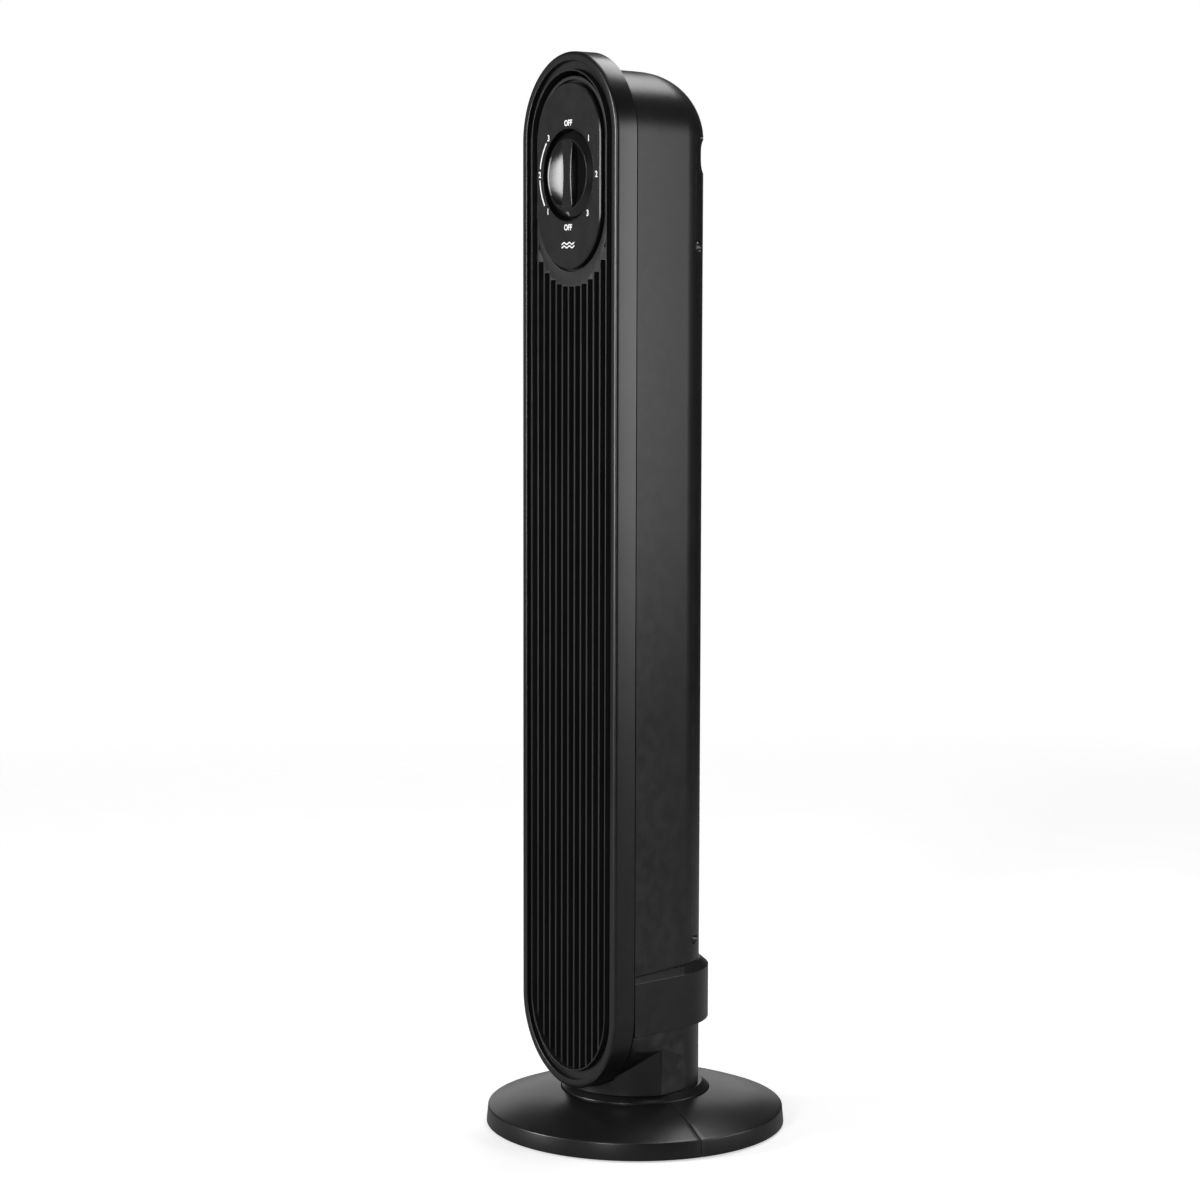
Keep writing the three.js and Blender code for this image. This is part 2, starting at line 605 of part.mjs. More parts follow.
function knob() {
  const body = turnedY(
    [
      [0, DIAL.crownFront],
      [DIAL.crown, DIAL.crownFront],
      [DIAL.knob, DIAL.crownFront + 3.5],
      [DIAL.knob, -54.5],
      [0, -54.5],
    ],
    DIAL.z,
    36,
  );
  const blade = { half: 4.3, endHalf: 7.8 };
  const scoop = (side) => {
    const rim = arc(0, DIAL.z, DIAL.crown - 0.8, -72, 72, 14);
    const waist = Array.from({ length: 5 }, (_, i) => {
      const along = 1 - i / 2;
      const half = THREE.MathUtils.lerp(blade.half, blade.endHalf, along * along);
      return [half, DIAL.z + along * 23];
    });
    const outline = [...rim, ...waist].map(([x, z]) => [side * x, z]);
    return prismY(outline, -70, DIAL.crownFront + 6.5);
  };
  return cut(body, scoop(1), scoop(-1), postY(3.3, -60, -40, 0, DIAL.z, 12));
}

const switchShaft = () => postY(3, -59.6, -41, 0, DIAL.z, 12);

function switchBody() {
  const body = box(-19, 19, -51.6, -36, DIAL.z - 19, DIAL.z + 19);
  const tabs = [-12, -4, 4, 12].map((x) => box(x - 2.4, x + 2.4, -36.5, -28, DIAL.z - 0.5, DIAL.z + 0.5));
  return cut(union([body, ...tabs]), postY(3.4, -60, -40, 0, DIAL.z, 12));
}

// ---------------------------------------------------------------- air path
const ductPlan = () => housingPlan(WALL + 0.4, -44);

function ductPlate(low, hole) {
  return cut(prism(ductPlan(), low, low + DUCT.thickness), post(hole, low - 5, low + 10));
}

const GUIDE = { radius: 41, thickness: 1.6, endX: 55.3, endY: -43.4 };
const guideSpan = [DUCT.low + DUCT.thickness + GAP, DUCT.high - DUCT.thickness - GAP];

const airGuide = () =>
  sheet([...arc(0, 0, GUIDE.radius, 132, 190, 9), [-GUIDE.endX, GUIDE.endY]], GUIDE.thickness, ...guideSpan);

const airCutoff = () =>
  sheet(
    [...arc(0, 0, GUIDE.radius - 1, 12, -14, 4), [GUIDE.endX, GUIDE.endY]],
    GUIDE.thickness,
    ...guideSpan,
  );

function impeller() {
  const step = (WHEEL.high - WHEEL.low - 2) / (WHEEL.discs - 1);
  const discs = Array.from({ length: WHEEL.discs }, (_, i) =>
    post(WHEEL.radius + 0.5, WHEEL.low + i * step, WHEEL.low + i * step + 2, 0, 0, 24),
  );
  const depth = WHEEL.radius - WHEEL.bladeInner;
  const blades = Array.from({ length: WHEEL.blades }, (_, i) =>
    solid(
      new THREE.BoxGeometry(depth, 1.2, WHEEL.high - WHEEL.low - 1)
        .rotateZ(degrees(28))
        .translate((WHEEL.radius + WHEEL.bladeInner) / 2, 0, (WHEEL.low + WHEEL.high) / 2)
        .rotateZ(degrees((i * 360) / WHEEL.blades)),
    ),
  );
  const hubs = [post(9, 200.2, WHEEL.low + 18, 0, 0, 16), post(8, WHEEL.high - 4, WHEEL.high + 10, 0, 0, 16)];
  const bores = [post(SHAFT_RADIUS + GAP, 190, 219, 0, 0, 16), post(3.3, 615, 660, 0, 0, 12)];
  return cut(union([...discs, ...blades, ...hubs]), ...bores);
}

const bearingPin = () => post(3, WHEEL.high - 3, 659, 0, 0, 12);
const bearingBush = () => cut(post(5, 652, 660, 0, 0, 16), post(3.3, 640, 670, 0, 0, 12));

function bearingHolder() {
  const low = DUCT.high + GAP;
  const body = post(18, low, low + 3, 0, 0, 24).add(post(9, low, 662, 0, 0, 20));
  return cut(body, post(5.3, 640, 670, 0, 0, 16));
}

// ---------------------------------------------------------------- motors and wiring
const MOTOR = { radius: 33, low: 124, high: 172 };
const BRACKET = { low: 184, high: 186, radius: 40 };
const DAMPER_TURNS = [-90, 30, 150];

function fanMotor() {
  const body = union([
    post(MOTOR.radius, MOTOR.low, MOTOR.high, 0, 0, 28),
    post(24, MOTOR.low - 5, MOTOR.high + 5, 0, 0, 20),
    post(11, MOTOR.high + 4, BRACKET.low - 1.5, 0, 0, 16),
    ...[0, 120, 240].map((turn) => post(3, MOTOR.high - 2, BRACKET.low - GAP, ...polar(28, turn))),
  ]);
  return cut(body, post(SHAFT_RADIUS + GAP, 121, 200, 0, 0, 16));
}

// A plain panel behind the lowest fins, in front of the motor.
const motorCover = () => {
  const front = FIN.back + GAP;
  return prismY(stadium(35, FACE.lowCentre, 159), front, front + 1.5);
};

const motorShaft = () => post(SHAFT_RADIUS, 121.5, 218.5, 0, 0, 16);

function motorBracket() {
  const plate = post(BRACKET.radius, BRACKET.low, BRACKET.high, 0, 0, 36);
  return cut(plate, post(13, 180, 190));
}

const motorDamper = (turn) => post(5, BRACKET.high + GAP, DUCT.low - GAP, ...polar(30, turn));

function swingMotor() {
  const body = post(24.3, TURNTABLE.high + GAP, 56, 0, PINION_Y, 32).add(post(9, 50, 60, 0, PINION_Y));
  return cut(body, post(3.6, 30, 46, 0, PINION_Y, 12));
}

const capacitor = () => box(4, 30, -41.6, -24, 60, 88);

function terminalBlock() {
  const body = box(-28, -2, -41.6, -30, 62, 76);
  const wells = [-24, -18, -12, -6].map((x) => box(x - 1.8, x + 1.8, -33, -29, 65, 73));
  return cut(body, ...wells);
}

// ---------------------------------------------------------------- scene graph
function mesh(name, body, finish) {
  const { vertProperties, triVerts, numProp, numVert } = body.getMesh();
  const positions = new Float32Array(numVert * 3);
  for (let i = 0; i < numVert; i++) {
    positions.set(vertProperties.subarray(i * numProp, i * numProp + 3), i * 3);
  }
  const geometry = new THREE.BufferGeometry();
  geometry.setAttribute("position", new THREE.BufferAttribute(positions, 3));
  geometry.setIndex(new THREE.BufferAttribute(triVerts, 1));
  const made = new THREE.Mesh(geometry, finish);
  made.name = name;
  return made;
}

// The base stands turned a little under the tower.
function turnedBase() {
  const group = new THREE.Group();
  const halves = baseHalves();
  group.add(mesh("base_front_half", halves.front, BLACK));
  group.add(mesh("base_rear_half", halves.rear, BLACK));
  FOOT_TURNS.forEach((turn, i) => group.add(mesh(`foot_${i + 1}`, foot(turn), RUBBER)));
  BASE_SCREW_TURNS.forEach((turn, i) => group.add(mesh(`base_screw_${i + 1}`, baseScrew(turn), ZINC)));
  group.rotation.z = degrees(BASE.turn);
  return group;
}

function swivelParts() {
  const group = new THREE.Group();
  group.add(mesh("swivel_ring", swivelRing(), BLACK));
  group.add(mesh("gear_sector", gearSector(), ACETAL));
  group.add(mesh("thrust_ring", thrustRing(), ACETAL));
  group.add(mesh("turntable", turntable(), INNER_BLACK));
  group.add(mesh("retaining_plate", retainingPlate(), ZINC));
  group.add(mesh("spindle_nut", spindleNut(), ZINC));
  group.add(mesh("swing_motor", swingMotor(), ZINC));
  group.add(mesh("swing_pinion", swingPinion(), ACETAL));
  return group;
}

function towerShells() {
  const group = new THREE.Group();
  group.add(mesh("neck_shell", neckShell(), BLACK));
  group.add(mesh("rear_collar", rearCollar(), BLACK));
  group.add(mesh("rear_housing", rearHousing(), BLACK));
  group.add(mesh("rear_grille", rearGrille(), BLACK));
  group.add(mesh("handle_cup", handleCup(), BLACK));
  group.add(mesh("front_bezel", frontBezel(), BLACK));
  group.add(mesh("front_grille", frontGrille(), BLACK));
  group.add(mesh("cable_gland", cableGland(), RUBBER));
  [-1, 1].forEach((side, i) => group.add(mesh(`collar_screw_${i + 1}`, collarScrew(side), ZINC)));
  TUBE_PLACES.forEach((place, i) => group.add(mesh(`housing_screw_${i + 1}`, housingScrew(place), ZINC)));
  return group;
}

function controls() {
  const group = new THREE.Group();
  group.add(mesh("control_panel", controlPanel(), PANEL_BLACK));
  group.add(mesh("knob", knob(), KNOB_BLACK));
  group.add(mesh("switch_shaft", switchShaft(), ZINC));
  group.add(mesh("switch_body", switchBody(), INNER_BLACK));
  return group;
}

function airPath() {
  const group = new THREE.Group();
  group.add(mesh("duct_bottom_plate", ductPlate(DUCT.low, 12), INNER_BLACK));
  group.add(mesh("duct_top_plate", ductPlate(DUCT.high - DUCT.thickness, 11), INNER_BLACK));
  group.add(mesh("air_guide", airGuide(), INNER_BLACK));
  group.add(mesh("air_cutoff", airCutoff(), INNER_BLACK));
  group.add(mesh("impeller", impeller(), INNER_BLACK));
  group.add(mesh("bearing_pin", bearingPin(), STEEL));
  group.add(mesh("bearing_bush", bearingBush(), BRONZE));
  group.add(mesh("bearing_holder", bearingHolder(), INNER_BLACK));
  return group;
}

function drive() {
  const group = new THREE.Group();
  group.add(mesh("fan_motor", fanMotor(), ZINC));
  group.add(mesh("motor_cover", motorCover(), INNER_BLACK));
  group.add(mesh("motor_shaft", motorShaft(), STEEL));
  group.add(mesh("motor_bracket", motorBracket(), ZINC));
  DAMPER_TURNS.forEach((turn, i) => group.add(mesh(`motor_damper_${i + 1}`, motorDamper(turn), RUBBER)));
  group.add(mesh("capacitor", capacitor(), CREAM));
  group.add(mesh("terminal_block", terminalBlock(), CREAM));
  return group;
}

const towerFan = new THREE.Group();
towerFan.add(turnedBase(), swivelParts(), towerShells(), controls(), airPath(), drive());

export default towerFan;
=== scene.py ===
"""A slim tower fan on a round two-part base, dressed for a studio view.

Every sub-assembly is a class that holds its sizes in millimetres, builds its
meshes in code and dresses them in procedural finishes.
"""
import logging
import math
from dataclasses import dataclass, field
from enum import Enum
from typing import Iterable, Sequence

import bmesh
import bpy
from mathutils import Matrix, Vector


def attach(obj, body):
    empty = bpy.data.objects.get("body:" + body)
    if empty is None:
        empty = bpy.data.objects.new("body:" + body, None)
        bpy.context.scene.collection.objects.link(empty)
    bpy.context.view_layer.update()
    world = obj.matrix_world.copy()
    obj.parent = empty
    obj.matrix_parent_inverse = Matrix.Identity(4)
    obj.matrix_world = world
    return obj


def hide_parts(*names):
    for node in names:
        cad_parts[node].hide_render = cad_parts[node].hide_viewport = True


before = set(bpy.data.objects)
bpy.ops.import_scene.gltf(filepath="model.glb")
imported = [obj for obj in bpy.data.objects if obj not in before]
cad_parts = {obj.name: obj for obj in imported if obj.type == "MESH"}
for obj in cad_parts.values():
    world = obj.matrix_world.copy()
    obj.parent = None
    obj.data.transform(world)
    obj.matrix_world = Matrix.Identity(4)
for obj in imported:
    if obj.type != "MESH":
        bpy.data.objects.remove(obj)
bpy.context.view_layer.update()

log = logging.getLogger("tower_fan")

MM = 0.001
Point = tuple[float, float]
Corner = tuple[float, float, float]
Place = tuple[float, float, float]
Colour = tuple[float, float, float]
Piece = bpy.types.Object
Socket = bpy.types.NodeSocket


# ------------------------------------------------------------------ plane geometry
def polar(radius: float, turn: float) -> Point:
    """A point at a radius and an angle in degrees."""
    return radius * math.cos(math.radians(turn)), radius * math.sin(math.radians(turn))


def arc(radius: float, start: float, end: float, steps: int, at: Point = (0.0, 0.0)) -> list[Point]:
    """Points along an arc, both ends included.

    Args:
        radius: Radius of the arc.
        start: First angle in degrees.
        end: Last angle in degrees.
        steps: Number of straight steps.
        at: Centre of the arc.

    Returns:
        steps + 1 points.
    """
    turns = [start + (end - start) * i / steps for i in range(steps + 1)]
    return [(at[0] + polar(radius, t)[0], at[1] + polar(radius, t)[1]) for t in turns]


def circle(radius: float, sides: int, at: Point = (0.0, 0.0)) -> list[Point]:
    """Points of a full circle."""
    return arc(radius, 0, 360 - 360 / sides, sides - 1, at)


def rounded(corners: Sequence[Corner], steps: int = 3) -> list[Point]:
    """Rounds the corners of a closed outline.

    Args:
        corners: Corners as (u, v, radius of the rounding).
        steps: Straight steps in each rounding.

    Returns:
        The outline's points.
    """
    made: list[Point] = []
    count = len(corners)
    for i, (u, v, radius) in enumerate(corners):
        here = Vector((u, v))
        back = Vector(corners[i - 1][:2]) - here
        ahead = Vector(corners[(i + 1) % count][:2]) - here
        half = back.angle(ahead, math.pi) / 2
        if radius <= 0 or half > math.radians(88):
            made.append((u, v))
            continue
        reach = min(radius / math.tan(half), 0.45 * back.length, 0.45 * ahead.length)
        start, end = here + back.normalized() * reach, here + ahead.normalized() * reach
        for k in range(steps + 1):
            t = k / steps
            point = start * (1 - t) ** 2 + here * 2 * t * (1 - t) + end * t ** 2
            made.append((point.x, point.y))
    return made


@dataclass(frozen=True)
class Stadium:
    """An upright outline with round ends, drawn across the width and the height."""

    low: float
    high: float
    steps: int = 48

    def stations(self) -> list[tuple[float, float]]:
        """Centre height and direction in degrees of each place round the outline.

        Returns:
            The places, in order.
        """
        top = [(self.high, 180 * i / self.steps) for i in range(self.steps + 1)]
        bottom = [(self.low, 180 + 180 * i / self.steps) for i in range(self.steps + 1)]
        return top + bottom

    def ring(self, radius: float, y: float) -> list[Place]:
        """The outline at one radius and depth."""
        return [(polar(radius, t)[0], y, z + polar(radius, t)[1]) for z, t in self.stations()]

    def rows(self, profile: Sequence[Point]) -> list[list[Place]]:
        """One closed section for each place round the outline, from (radius, y) points.

        Args:
            profile: The closed section, as pairs in millimetres.

        Returns:
            The sections.
        """
        return [
            [(polar(r, t)[0], y, z + polar(r, t)[1]) for r, y in profile] for z, t in self.stations()
        ]


@dataclass(frozen=True)
class ShellPlan:
    """A plan that is round at the rear and opens with flat sides towards the front."""

    rear_radius: float
    side_x: float
    side_y: float = -45.0
    front: float = -42.8
    steps: int = 72

    def lean(self) -> float:
        """Angle in degrees at which a flat side leaves the round rear."""
        reach = math.hypot(self.side_x, self.side_y)
        return math.degrees(math.atan2(self.side_y, self.side_x) + math.acos(self.rear_radius / reach))

    def front_x(self, inset: float) -> float:
        """Half width at the front edge, with the walls moved in by inset."""
        lean = math.radians(self.lean())
        return (self.rear_radius - inset - self.front * math.sin(lean)) / math.cos(lean)

    def line(self, inset: float) -> list[Point]:
        """The open outline from the front right round the rear to the front left.

        Args:
            inset: How far inside the outer skin, in millimetres.

        Returns:
            The points.
        """
        lean = self.lean()
        curve = arc(self.rear_radius - inset, lean, 180 - lean, self.steps)
        x = self.front_x(inset)
        return [(x, self.front), *curve, (-x, self.front)]


# ------------------------------------------------------------------ mesh drafts
@dataclass
class Draft:
    """Points and faces of a piece that is being drawn, in millimetres."""

    points: list[Place] = field(default_factory=list)
    faces: list[tuple[int, ...]] = field(default_factory=list)

    def row(self, places: Iterable[Place]) -> list[int]:
        """Adds points and returns their numbers.

        Args:
            places: The points of the row.

        Returns:
            The numbers of the points.
        """
        first = len(self.points)
        self.points.extend(tuple(p) for p in places)
        return list(range(first, len(self.points)))

    def ladder(self, one: Sequence[int], other: Sequence[int], closed: bool = False) -> None:
        """Joins two rows of the same length with four-sided faces.

        Args:
            one: Numbers of the first row.
            other: Numbers of the second row.
            closed: True if the rows go all the way round.
        """
        count = len(one)
        for i in range(count if closed else count - 1):
            j = (i + 1) % count
            self.faces.append((one[i], one[j], other[j], other[i]))

    def skin(
        self, rows: Sequence[Sequence[Place]], across: bool = False, along: bool = False
    ) -> list[list[int]]:
        """A skin over rows of points.

        Args:
            rows: Rows that all have the same number of points.
            across: True if each row is a closed loop.
            along: True if the last row joins the first.

        Returns:
            The numbers of the points, row by row.
        """
        numbers = [self.row(r) for r in rows]
        pairs = list(zip(numbers, numbers[1:])) + ([(numbers[-1], numbers[0])] if along else [])
        for one, other in pairs:
            self.ladder(one, other, across)
        return numbers

    def cap(self, loop: Sequence[int]) -> None:
        """Closes a loop with one face."""
        self.faces.append(tuple(loop))

    def sweep(self, rows: Sequence[Sequence[Place]], along: bool = False) -> "Draft":
        """A closed solid whose closed sections follow a path, with its ends closed unless it joins up.

        Args:
            rows: The closed sections, in order.
            along: True if the last section joins the first.

        Returns:
            The draft itself.
        """
        numbers = self.skin(rows, across=True, along=along)
        if not along:
            self.cap(numbers[0])
            self.cap(numbers[-1])
        return self

    def build(self, name: str, crease: float = 35.0) -> Piece:
        """Turns the draft into an object.

        Args:
            name: Name of the object.
            crease: Edges that turn by more than this many degrees stay sharp.

        Returns:
            The object, linked to the scene.
        """
        mesh = bpy.data.meshes.new(name)
        mesh.from_pydata([tuple(c * MM for c in p) for p in self.points], [], self.faces)
        heal(mesh, crease)
        made = bpy.data.objects.new(name, mesh)
        bpy.context.scene.collection.objects.link(made)
        return made


def heal(mesh: bpy.types.Mesh, crease: float) -> None:
    """Merges points that coincide, turns faces outwards and marks creases.

    Args:
        mesh: The mesh to clean.
        crease: Edges that turn by more than this many degrees stay sharp.
    """
    work = bmesh.new()
    work.from_mesh(mesh)
    bmesh.ops.remove_doubles(work, verts=work.verts, dist=1e-6)
    bmesh.ops.dissolve_degenerate(work, edges=work.edges, dist=1e-7)
    bmesh.ops.recalc_face_normals(work, faces=work.faces)
    limit = math.radians(crease)
    for face in work.faces:
        face.smooth = True
    for edge in work.edges:
        edge.smooth = len(edge.link_faces) == 2 and edge.calc_face_angle(0.0) < limit
    work.to_mesh(mesh)
    work.free()


class Join(Enum):
    """How a tool acts on a target."""

    CUT = "DIFFERENCE"
    ADD = "UNION"
    KEEP = "INTERSECT"


def combine(
    target: Piece, tool: Piece, join: Join, crease: float = 35.0
) -> Piece:
    """Cuts, joins or trims a target with a tool, and removes the tool.

    Args:
        target: The piece that is changed.
        tool: The closed solid that acts on it.
        join: What is done.
        crease: Edges that turn by more than this many degrees stay sharp.

    Returns:
        The target.
    """
    step = target.modifiers.new("shape", "BOOLEAN")
    step.operation = join.value
    step.solver = "MANIFOLD"
    step.object = tool
    graph = bpy.context.evaluated_depsgraph_get()
    mesh = bpy.data.meshes.new_from_object(target.evaluated_get(graph))
    target.modifiers.clear()
    before, target.data = target.data, mesh
    bpy.data.meshes.remove(before)
    bpy.data.objects.remove(tool)
    heal(target.data, crease)
    return target


def cut(target: Piece, tool: Draft, crease: float = 35.0) -> Piece:
    """Takes a draft's solid away from a piece."""
    return combine(target, tool.build("tool"), Join.CUT, crease)


def weld(target: Piece, tool: Draft, crease: float = 35.0) -> Piece:
    """Joins a draft's solid to a piece."""
    return combine(target, tool.build("tool"), Join.ADD, crease)


def trim(target: Piece, tool: Draft, crease: float = 35.0) -> Piece:
    """Keeps what a piece shares with a draft's solid."""
    return combine(target, tool.build("tool"), Join.KEEP, crease)


def soften(
    piece: Piece, width: float = 0.35, segments: int = 2, angle: float = 38.0
) -> Piece:
    """Rounds the sharp edges of a piece with a narrow bevel and evens its shading.

    Args:
        piece: The piece.
        width: Width of the rounding.
        segments: Steps in it.
        angle: Edges that turn by more than this many degrees are rounded.

    Returns:
        The piece.
    """
    bevel = piece.modifiers.new("edge rounding", "BEVEL")
    bevel.width = width * MM
    bevel.segments = segments
    bevel.limit_method = "ANGLE"
    bevel.angle_limit = math.radians(angle)
    bevel.use_clamp_overlap = True
    bevel.miter_outer = "MITER_ARC"
    flat = piece.modifiers.new("even shading", "WEIGHTED_NORMAL")
    flat.keep_sharp = True
    return piece


def turned(profile: Sequence[Point], sides: int = 96, at: Point = (0.0, 0.0)) -> Draft:
    """A closed profile of (radius, z) turned about a vertical axis.

    Args:
        profile: The closed section, as pairs in millimetres.
        sides: How many steps round.
        at: Where the axis stands.

    Returns:
        The draft.
    """
    rows = []
    for i in range(sides):
        c, s = polar(1.0, 360 * i / sides)
        rows.append([(at[0] + r * c, at[1] + r * s, z) for r, z in profile])
    return Draft().sweep(rows, along=True)


def turned_across(profile: Sequence[Point], z: float, x: float = 0.0, sides: int = 64) -> Draft:
    """A closed profile of (radius, y) turned about an axis that runs front to back.

    Args:
        profile: The closed section, as pairs in millimetres.
        z: Height of the axis.
        x: Its place across.
        sides: How many steps round.

    Returns:
        The draft.
    """
    rows = []
    for i in range(sides):
        c, s = polar(1.0, 360 * i / sides)
        rows.append([(x + r * c, y, z + r * s) for r, y in profile])
    return Draft().sweep(rows, along=True)


def prism(outline: Sequence[Point], low: float, high: float) -> Draft:
    """An outline of (x, y) raised from one height to another."""
    return Draft().sweep([[(x, y, z) for x, y in outline] for z in (low, high)])


def prism_across(outline: Sequence[Point], front: float, back: float) -> Draft:
    """An outline of (x, z) drawn from one depth to another."""
    return Draft().sweep([[(x, y, z) for x, z in outline] for y in (front, back)])


def block(x: Point, y: Point, z: Point) -> Draft:
    """A block between pairs of limits, used as a rib, a bar or a tool."""
    return prism([(x[0], y[0]), (x[1], y[0]), (x[1], y[1]), (x[0], y[1])], *z)


def gather(drafts: Iterable[Draft]) -> Draft:
    """Several separate solids in one draft.

    Args:
        drafts: The solids to join.

    Returns:
        The draft.
    """
    whole = Draft()
    for draft in drafts:
        shift = len(whole.points)
        whole.points.extend(draft.points)
        whole.faces.extend(tuple(n + shift for n in f) for f in draft.faces)
    return whole


# ------------------------------------------------------------------ shader effects
@dataclass
class Graph:
    """A node tree that is being wired."""

    tree: bpy.types.NodeTree

    def add(self, kind: str, inputs: dict | None = None, **settings: object) -> bpy.types.Node:
        """Adds a node.

        Args:
            kind: Node type without its ShaderNode prefix.
            inputs: Socket name or number to a value or to another node's output.
            settings: Properties of the node.

        Returns:
            The node.
        """
        node = self.tree.nodes.new("ShaderNode" + kind)
        for name, value in settings.items():
            setattr(node, name, value)
        for name, value in (inputs or {}).items():
            if isinstance(value, Socket):
                self.tree.links.new(value, node.inputs[name])
            else:
                node.inputs[name].default_value = value
        return node

    def place(self) -> Socket:
        """The piece's own space."""
        return self.add("TexCoord").outputs["Object"]

    def noise(
        self, scale: float | Socket, detail: float = 3.0, rough: float = 0.5,
        place: Socket | None = None,
    ) -> Socket:
        """A noise value over a space, at a scale per metre.

        Args:
            scale: How fine it is.
            detail: How many finer layers it holds.
            rough: How strong the finer layers are.
            place: The space, or None for the piece's own.

        Returns:
            The value.
        """
        inputs = {"Vector": place or self.place(), "Scale": scale, "Detail": detail, "Roughness": rough}
        return self.add("TexNoise", inputs).outputs["Fac"]

    def span(
        self, value: Socket, low: float, high: float,
        to_low: float | Socket = 0.0, to_high: float | Socket = 1.0,
    ) -> Socket:
        """Maps a value from one span to another, held inside it."""
        sockets = {"Value": value, "From Min": low, "From Max": high, "To Min": to_low, "To Max": to_high}
        return self.add("MapRange", sockets).outputs["Result"]

    def maths(self, operation: str, one: object, other: object = 0.0) -> Socket:
        """One arithmetic step."""
        return self.add("Math", {0: one, 1: other}, operation=operation).outputs["Value"]

    def share(self, value: Socket, part: float) -> Socket:
        """A value times a part."""
        return self.maths("MULTIPLY", value, part)

    def mix(self, share: Socket, one: object, other: object) -> Socket:
        """A colour between two others.

        Args:
            share: How much of the other colour.
            one: The first colour.
            other: The other colour.

        Returns:
            The colour.
        """
        node = self.add("Mix", data_type="RGBA")
        for number, value in ((0, share), (6, one), (7, other)):
            if isinstance(value, Socket):
                self.tree.links.new(value, node.inputs[number])
            else:
                node.inputs[number].default_value = value if number == 0 else (*value, 1.0)
        return node.outputs[2]


class Effect:
    """A shader node group with named inputs and outputs, built once and placed in several finishes."""

    name = "Effect"
    inputs: dict[str, tuple[str, float]] = {}
    outputs: dict[str, str] = {}

    def __init__(self) -> None:
        """Makes the group's sockets and wires its inside."""
        self.tree = bpy.data.node_groups.new(self.name, "ShaderNodeTree")
        for label, (kind, value) in self.inputs.items():
            socket = self.tree.interface.new_socket(label, in_out="INPUT", socket_type="NodeSocket" + kind)
            if kind == "Float":
                socket.default_value = value
        for label, kind in self.outputs.items():
            self.tree.interface.new_socket(label, in_out="OUTPUT", socket_type="NodeSocket" + kind)
        entry, leave = self.tree.nodes.new("NodeGroupInput"), self.tree.nodes.new("NodeGroupOutput")
        for label, value in self.wire(Graph(self.tree), entry.outputs).items():
            self.tree.links.new(value, leave.inputs[label])

    def wire(self, graph: Graph, given: bpy.types.NodeOutputs) -> dict[str, Socket]:
        """Wires the effect and returns what each output carries."""
        raise NotImplementedError

    def place(self, graph: Graph, **values: object) -> bpy.types.NodeOutputs:
        """Places the effect in a finish.

        Args:
            graph: The finish's node tree.
            values: A value or a linked output for each input, with spaces written as underscores.

        Returns:
            The placed group's outputs.
        """
        node = graph.add("Group", node_tree=self.tree)
        for label, value in values.items():
            socket = node.inputs[label.replace("_", " ")]
            if isinstance(value, Socket):
                graph.tree.links.new(value, socket)
            else:
                socket.default_value = value
        return node.outputs


class MouldedGrain(Effect):
    """The fine etched grain that a mould leaves on plastic."""

    name = "Moulded Grain"
    inputs = {"Scale": ("Float", 1500.0), "Depth": ("Float", 1.0)}
    outputs = {"Height": "Float"}

    def wire(self, graph: Graph, given: bpy.types.NodeOutputs) -> dict[str, Socket]:
        """Wires small cells over a finer noise.

        Args:
            graph: The group's graph.
            given: The group's inputs by name.

        Returns:
            The group's outputs by name.
        """
        where = {"Vector": graph.place(), "Scale": given["Scale"]}
        cells = graph.add("TexVoronoi", where, feature="SMOOTH_F1").outputs["Distance"]
        fine = graph.noise(given["Scale"], 2.0)
        height = graph.maths("ADD", graph.share(cells, 0.6), graph.share(fine, 0.8))
        return {"Height": graph.maths("MULTIPLY", height, given["Depth"])}


class EdgeWear(Effect):
    """Paler rubbed patches on outer edges."""

    name = "Edge Wear"
    inputs = {"Amount": ("Float", 0.4), "Patch Scale": ("Float", 90.0)}
    outputs = {"Mask": "Float"}

    def wire(self, graph: Graph, given: bpy.types.NodeOutputs) -> dict[str, Socket]:
        """Wires the outer edges through patchy noise.

        Args:
            graph: The group's graph.
            given: The group's inputs by name.

        Returns:
            The group's outputs by name.
        """
        point = graph.add("NewGeometry").outputs["Pointiness"]
        edge = graph.span(point, 0.515, 0.6)
        patch = graph.noise(given["Patch Scale"], 4.0)
        worn = graph.maths("MULTIPLY", edge, graph.span(patch, 0.38, 0.62))
        return {"Mask": graph.maths("MULTIPLY", worn, given["Amount"])}


class SettledDust(Effect):
    """A faint haze on what faces up."""

    name = "Settled Dust"
    inputs = {"Amount": ("Float", 0.3)}
    outputs = {"Mask": "Float"}

    def wire(self, graph: Graph, given: bpy.types.NodeOutputs) -> dict[str, Socket]:
        """Wires the upward slope through a soft speckle.

        Args:
            graph: The group's graph.
            given: The group's inputs by name.

        Returns:
            The group's outputs by name.
        """
        normal = graph.add("NewGeometry").outputs["Normal"]
        up = graph.span(graph.add("SeparateXYZ", {0: normal}).outputs["Z"], 0.25, 1.0)
        speckle = graph.span(graph.noise(420.0, 5.0, 0.7), 0.42, 0.7)
        cloud = graph.span(graph.noise(26.0, rough=0.55), 0.35, 0.7)
        both = graph.maths("ADD", graph.share(speckle, 0.6), graph.share(cloud, 0.4))
        haze = graph.maths("MULTIPLY", up, both)
        return {"Mask": graph.maths("MULTIPLY", haze, given["Amount"])}


class ToneDrift(Effect):
    """A slow change between two near tones."""

    name = "Tone Drift"
    inputs = {"Dark": ("Color", 0.0), "Light": ("Color", 0.0), "Scale": ("Float", 14.0)}
    outputs = {"Colour": "Color"}

    def wire(self, graph: Graph, given: bpy.types.NodeOutputs) -> dict[str, Socket]:
        """Wires broad noise between the two tones."""
        cloud = graph.noise(given["Scale"], 4.0)
        return {"Colour": graph.mix(graph.span(cloud, 0.3, 0.7), given["Dark"], given["Light"])}


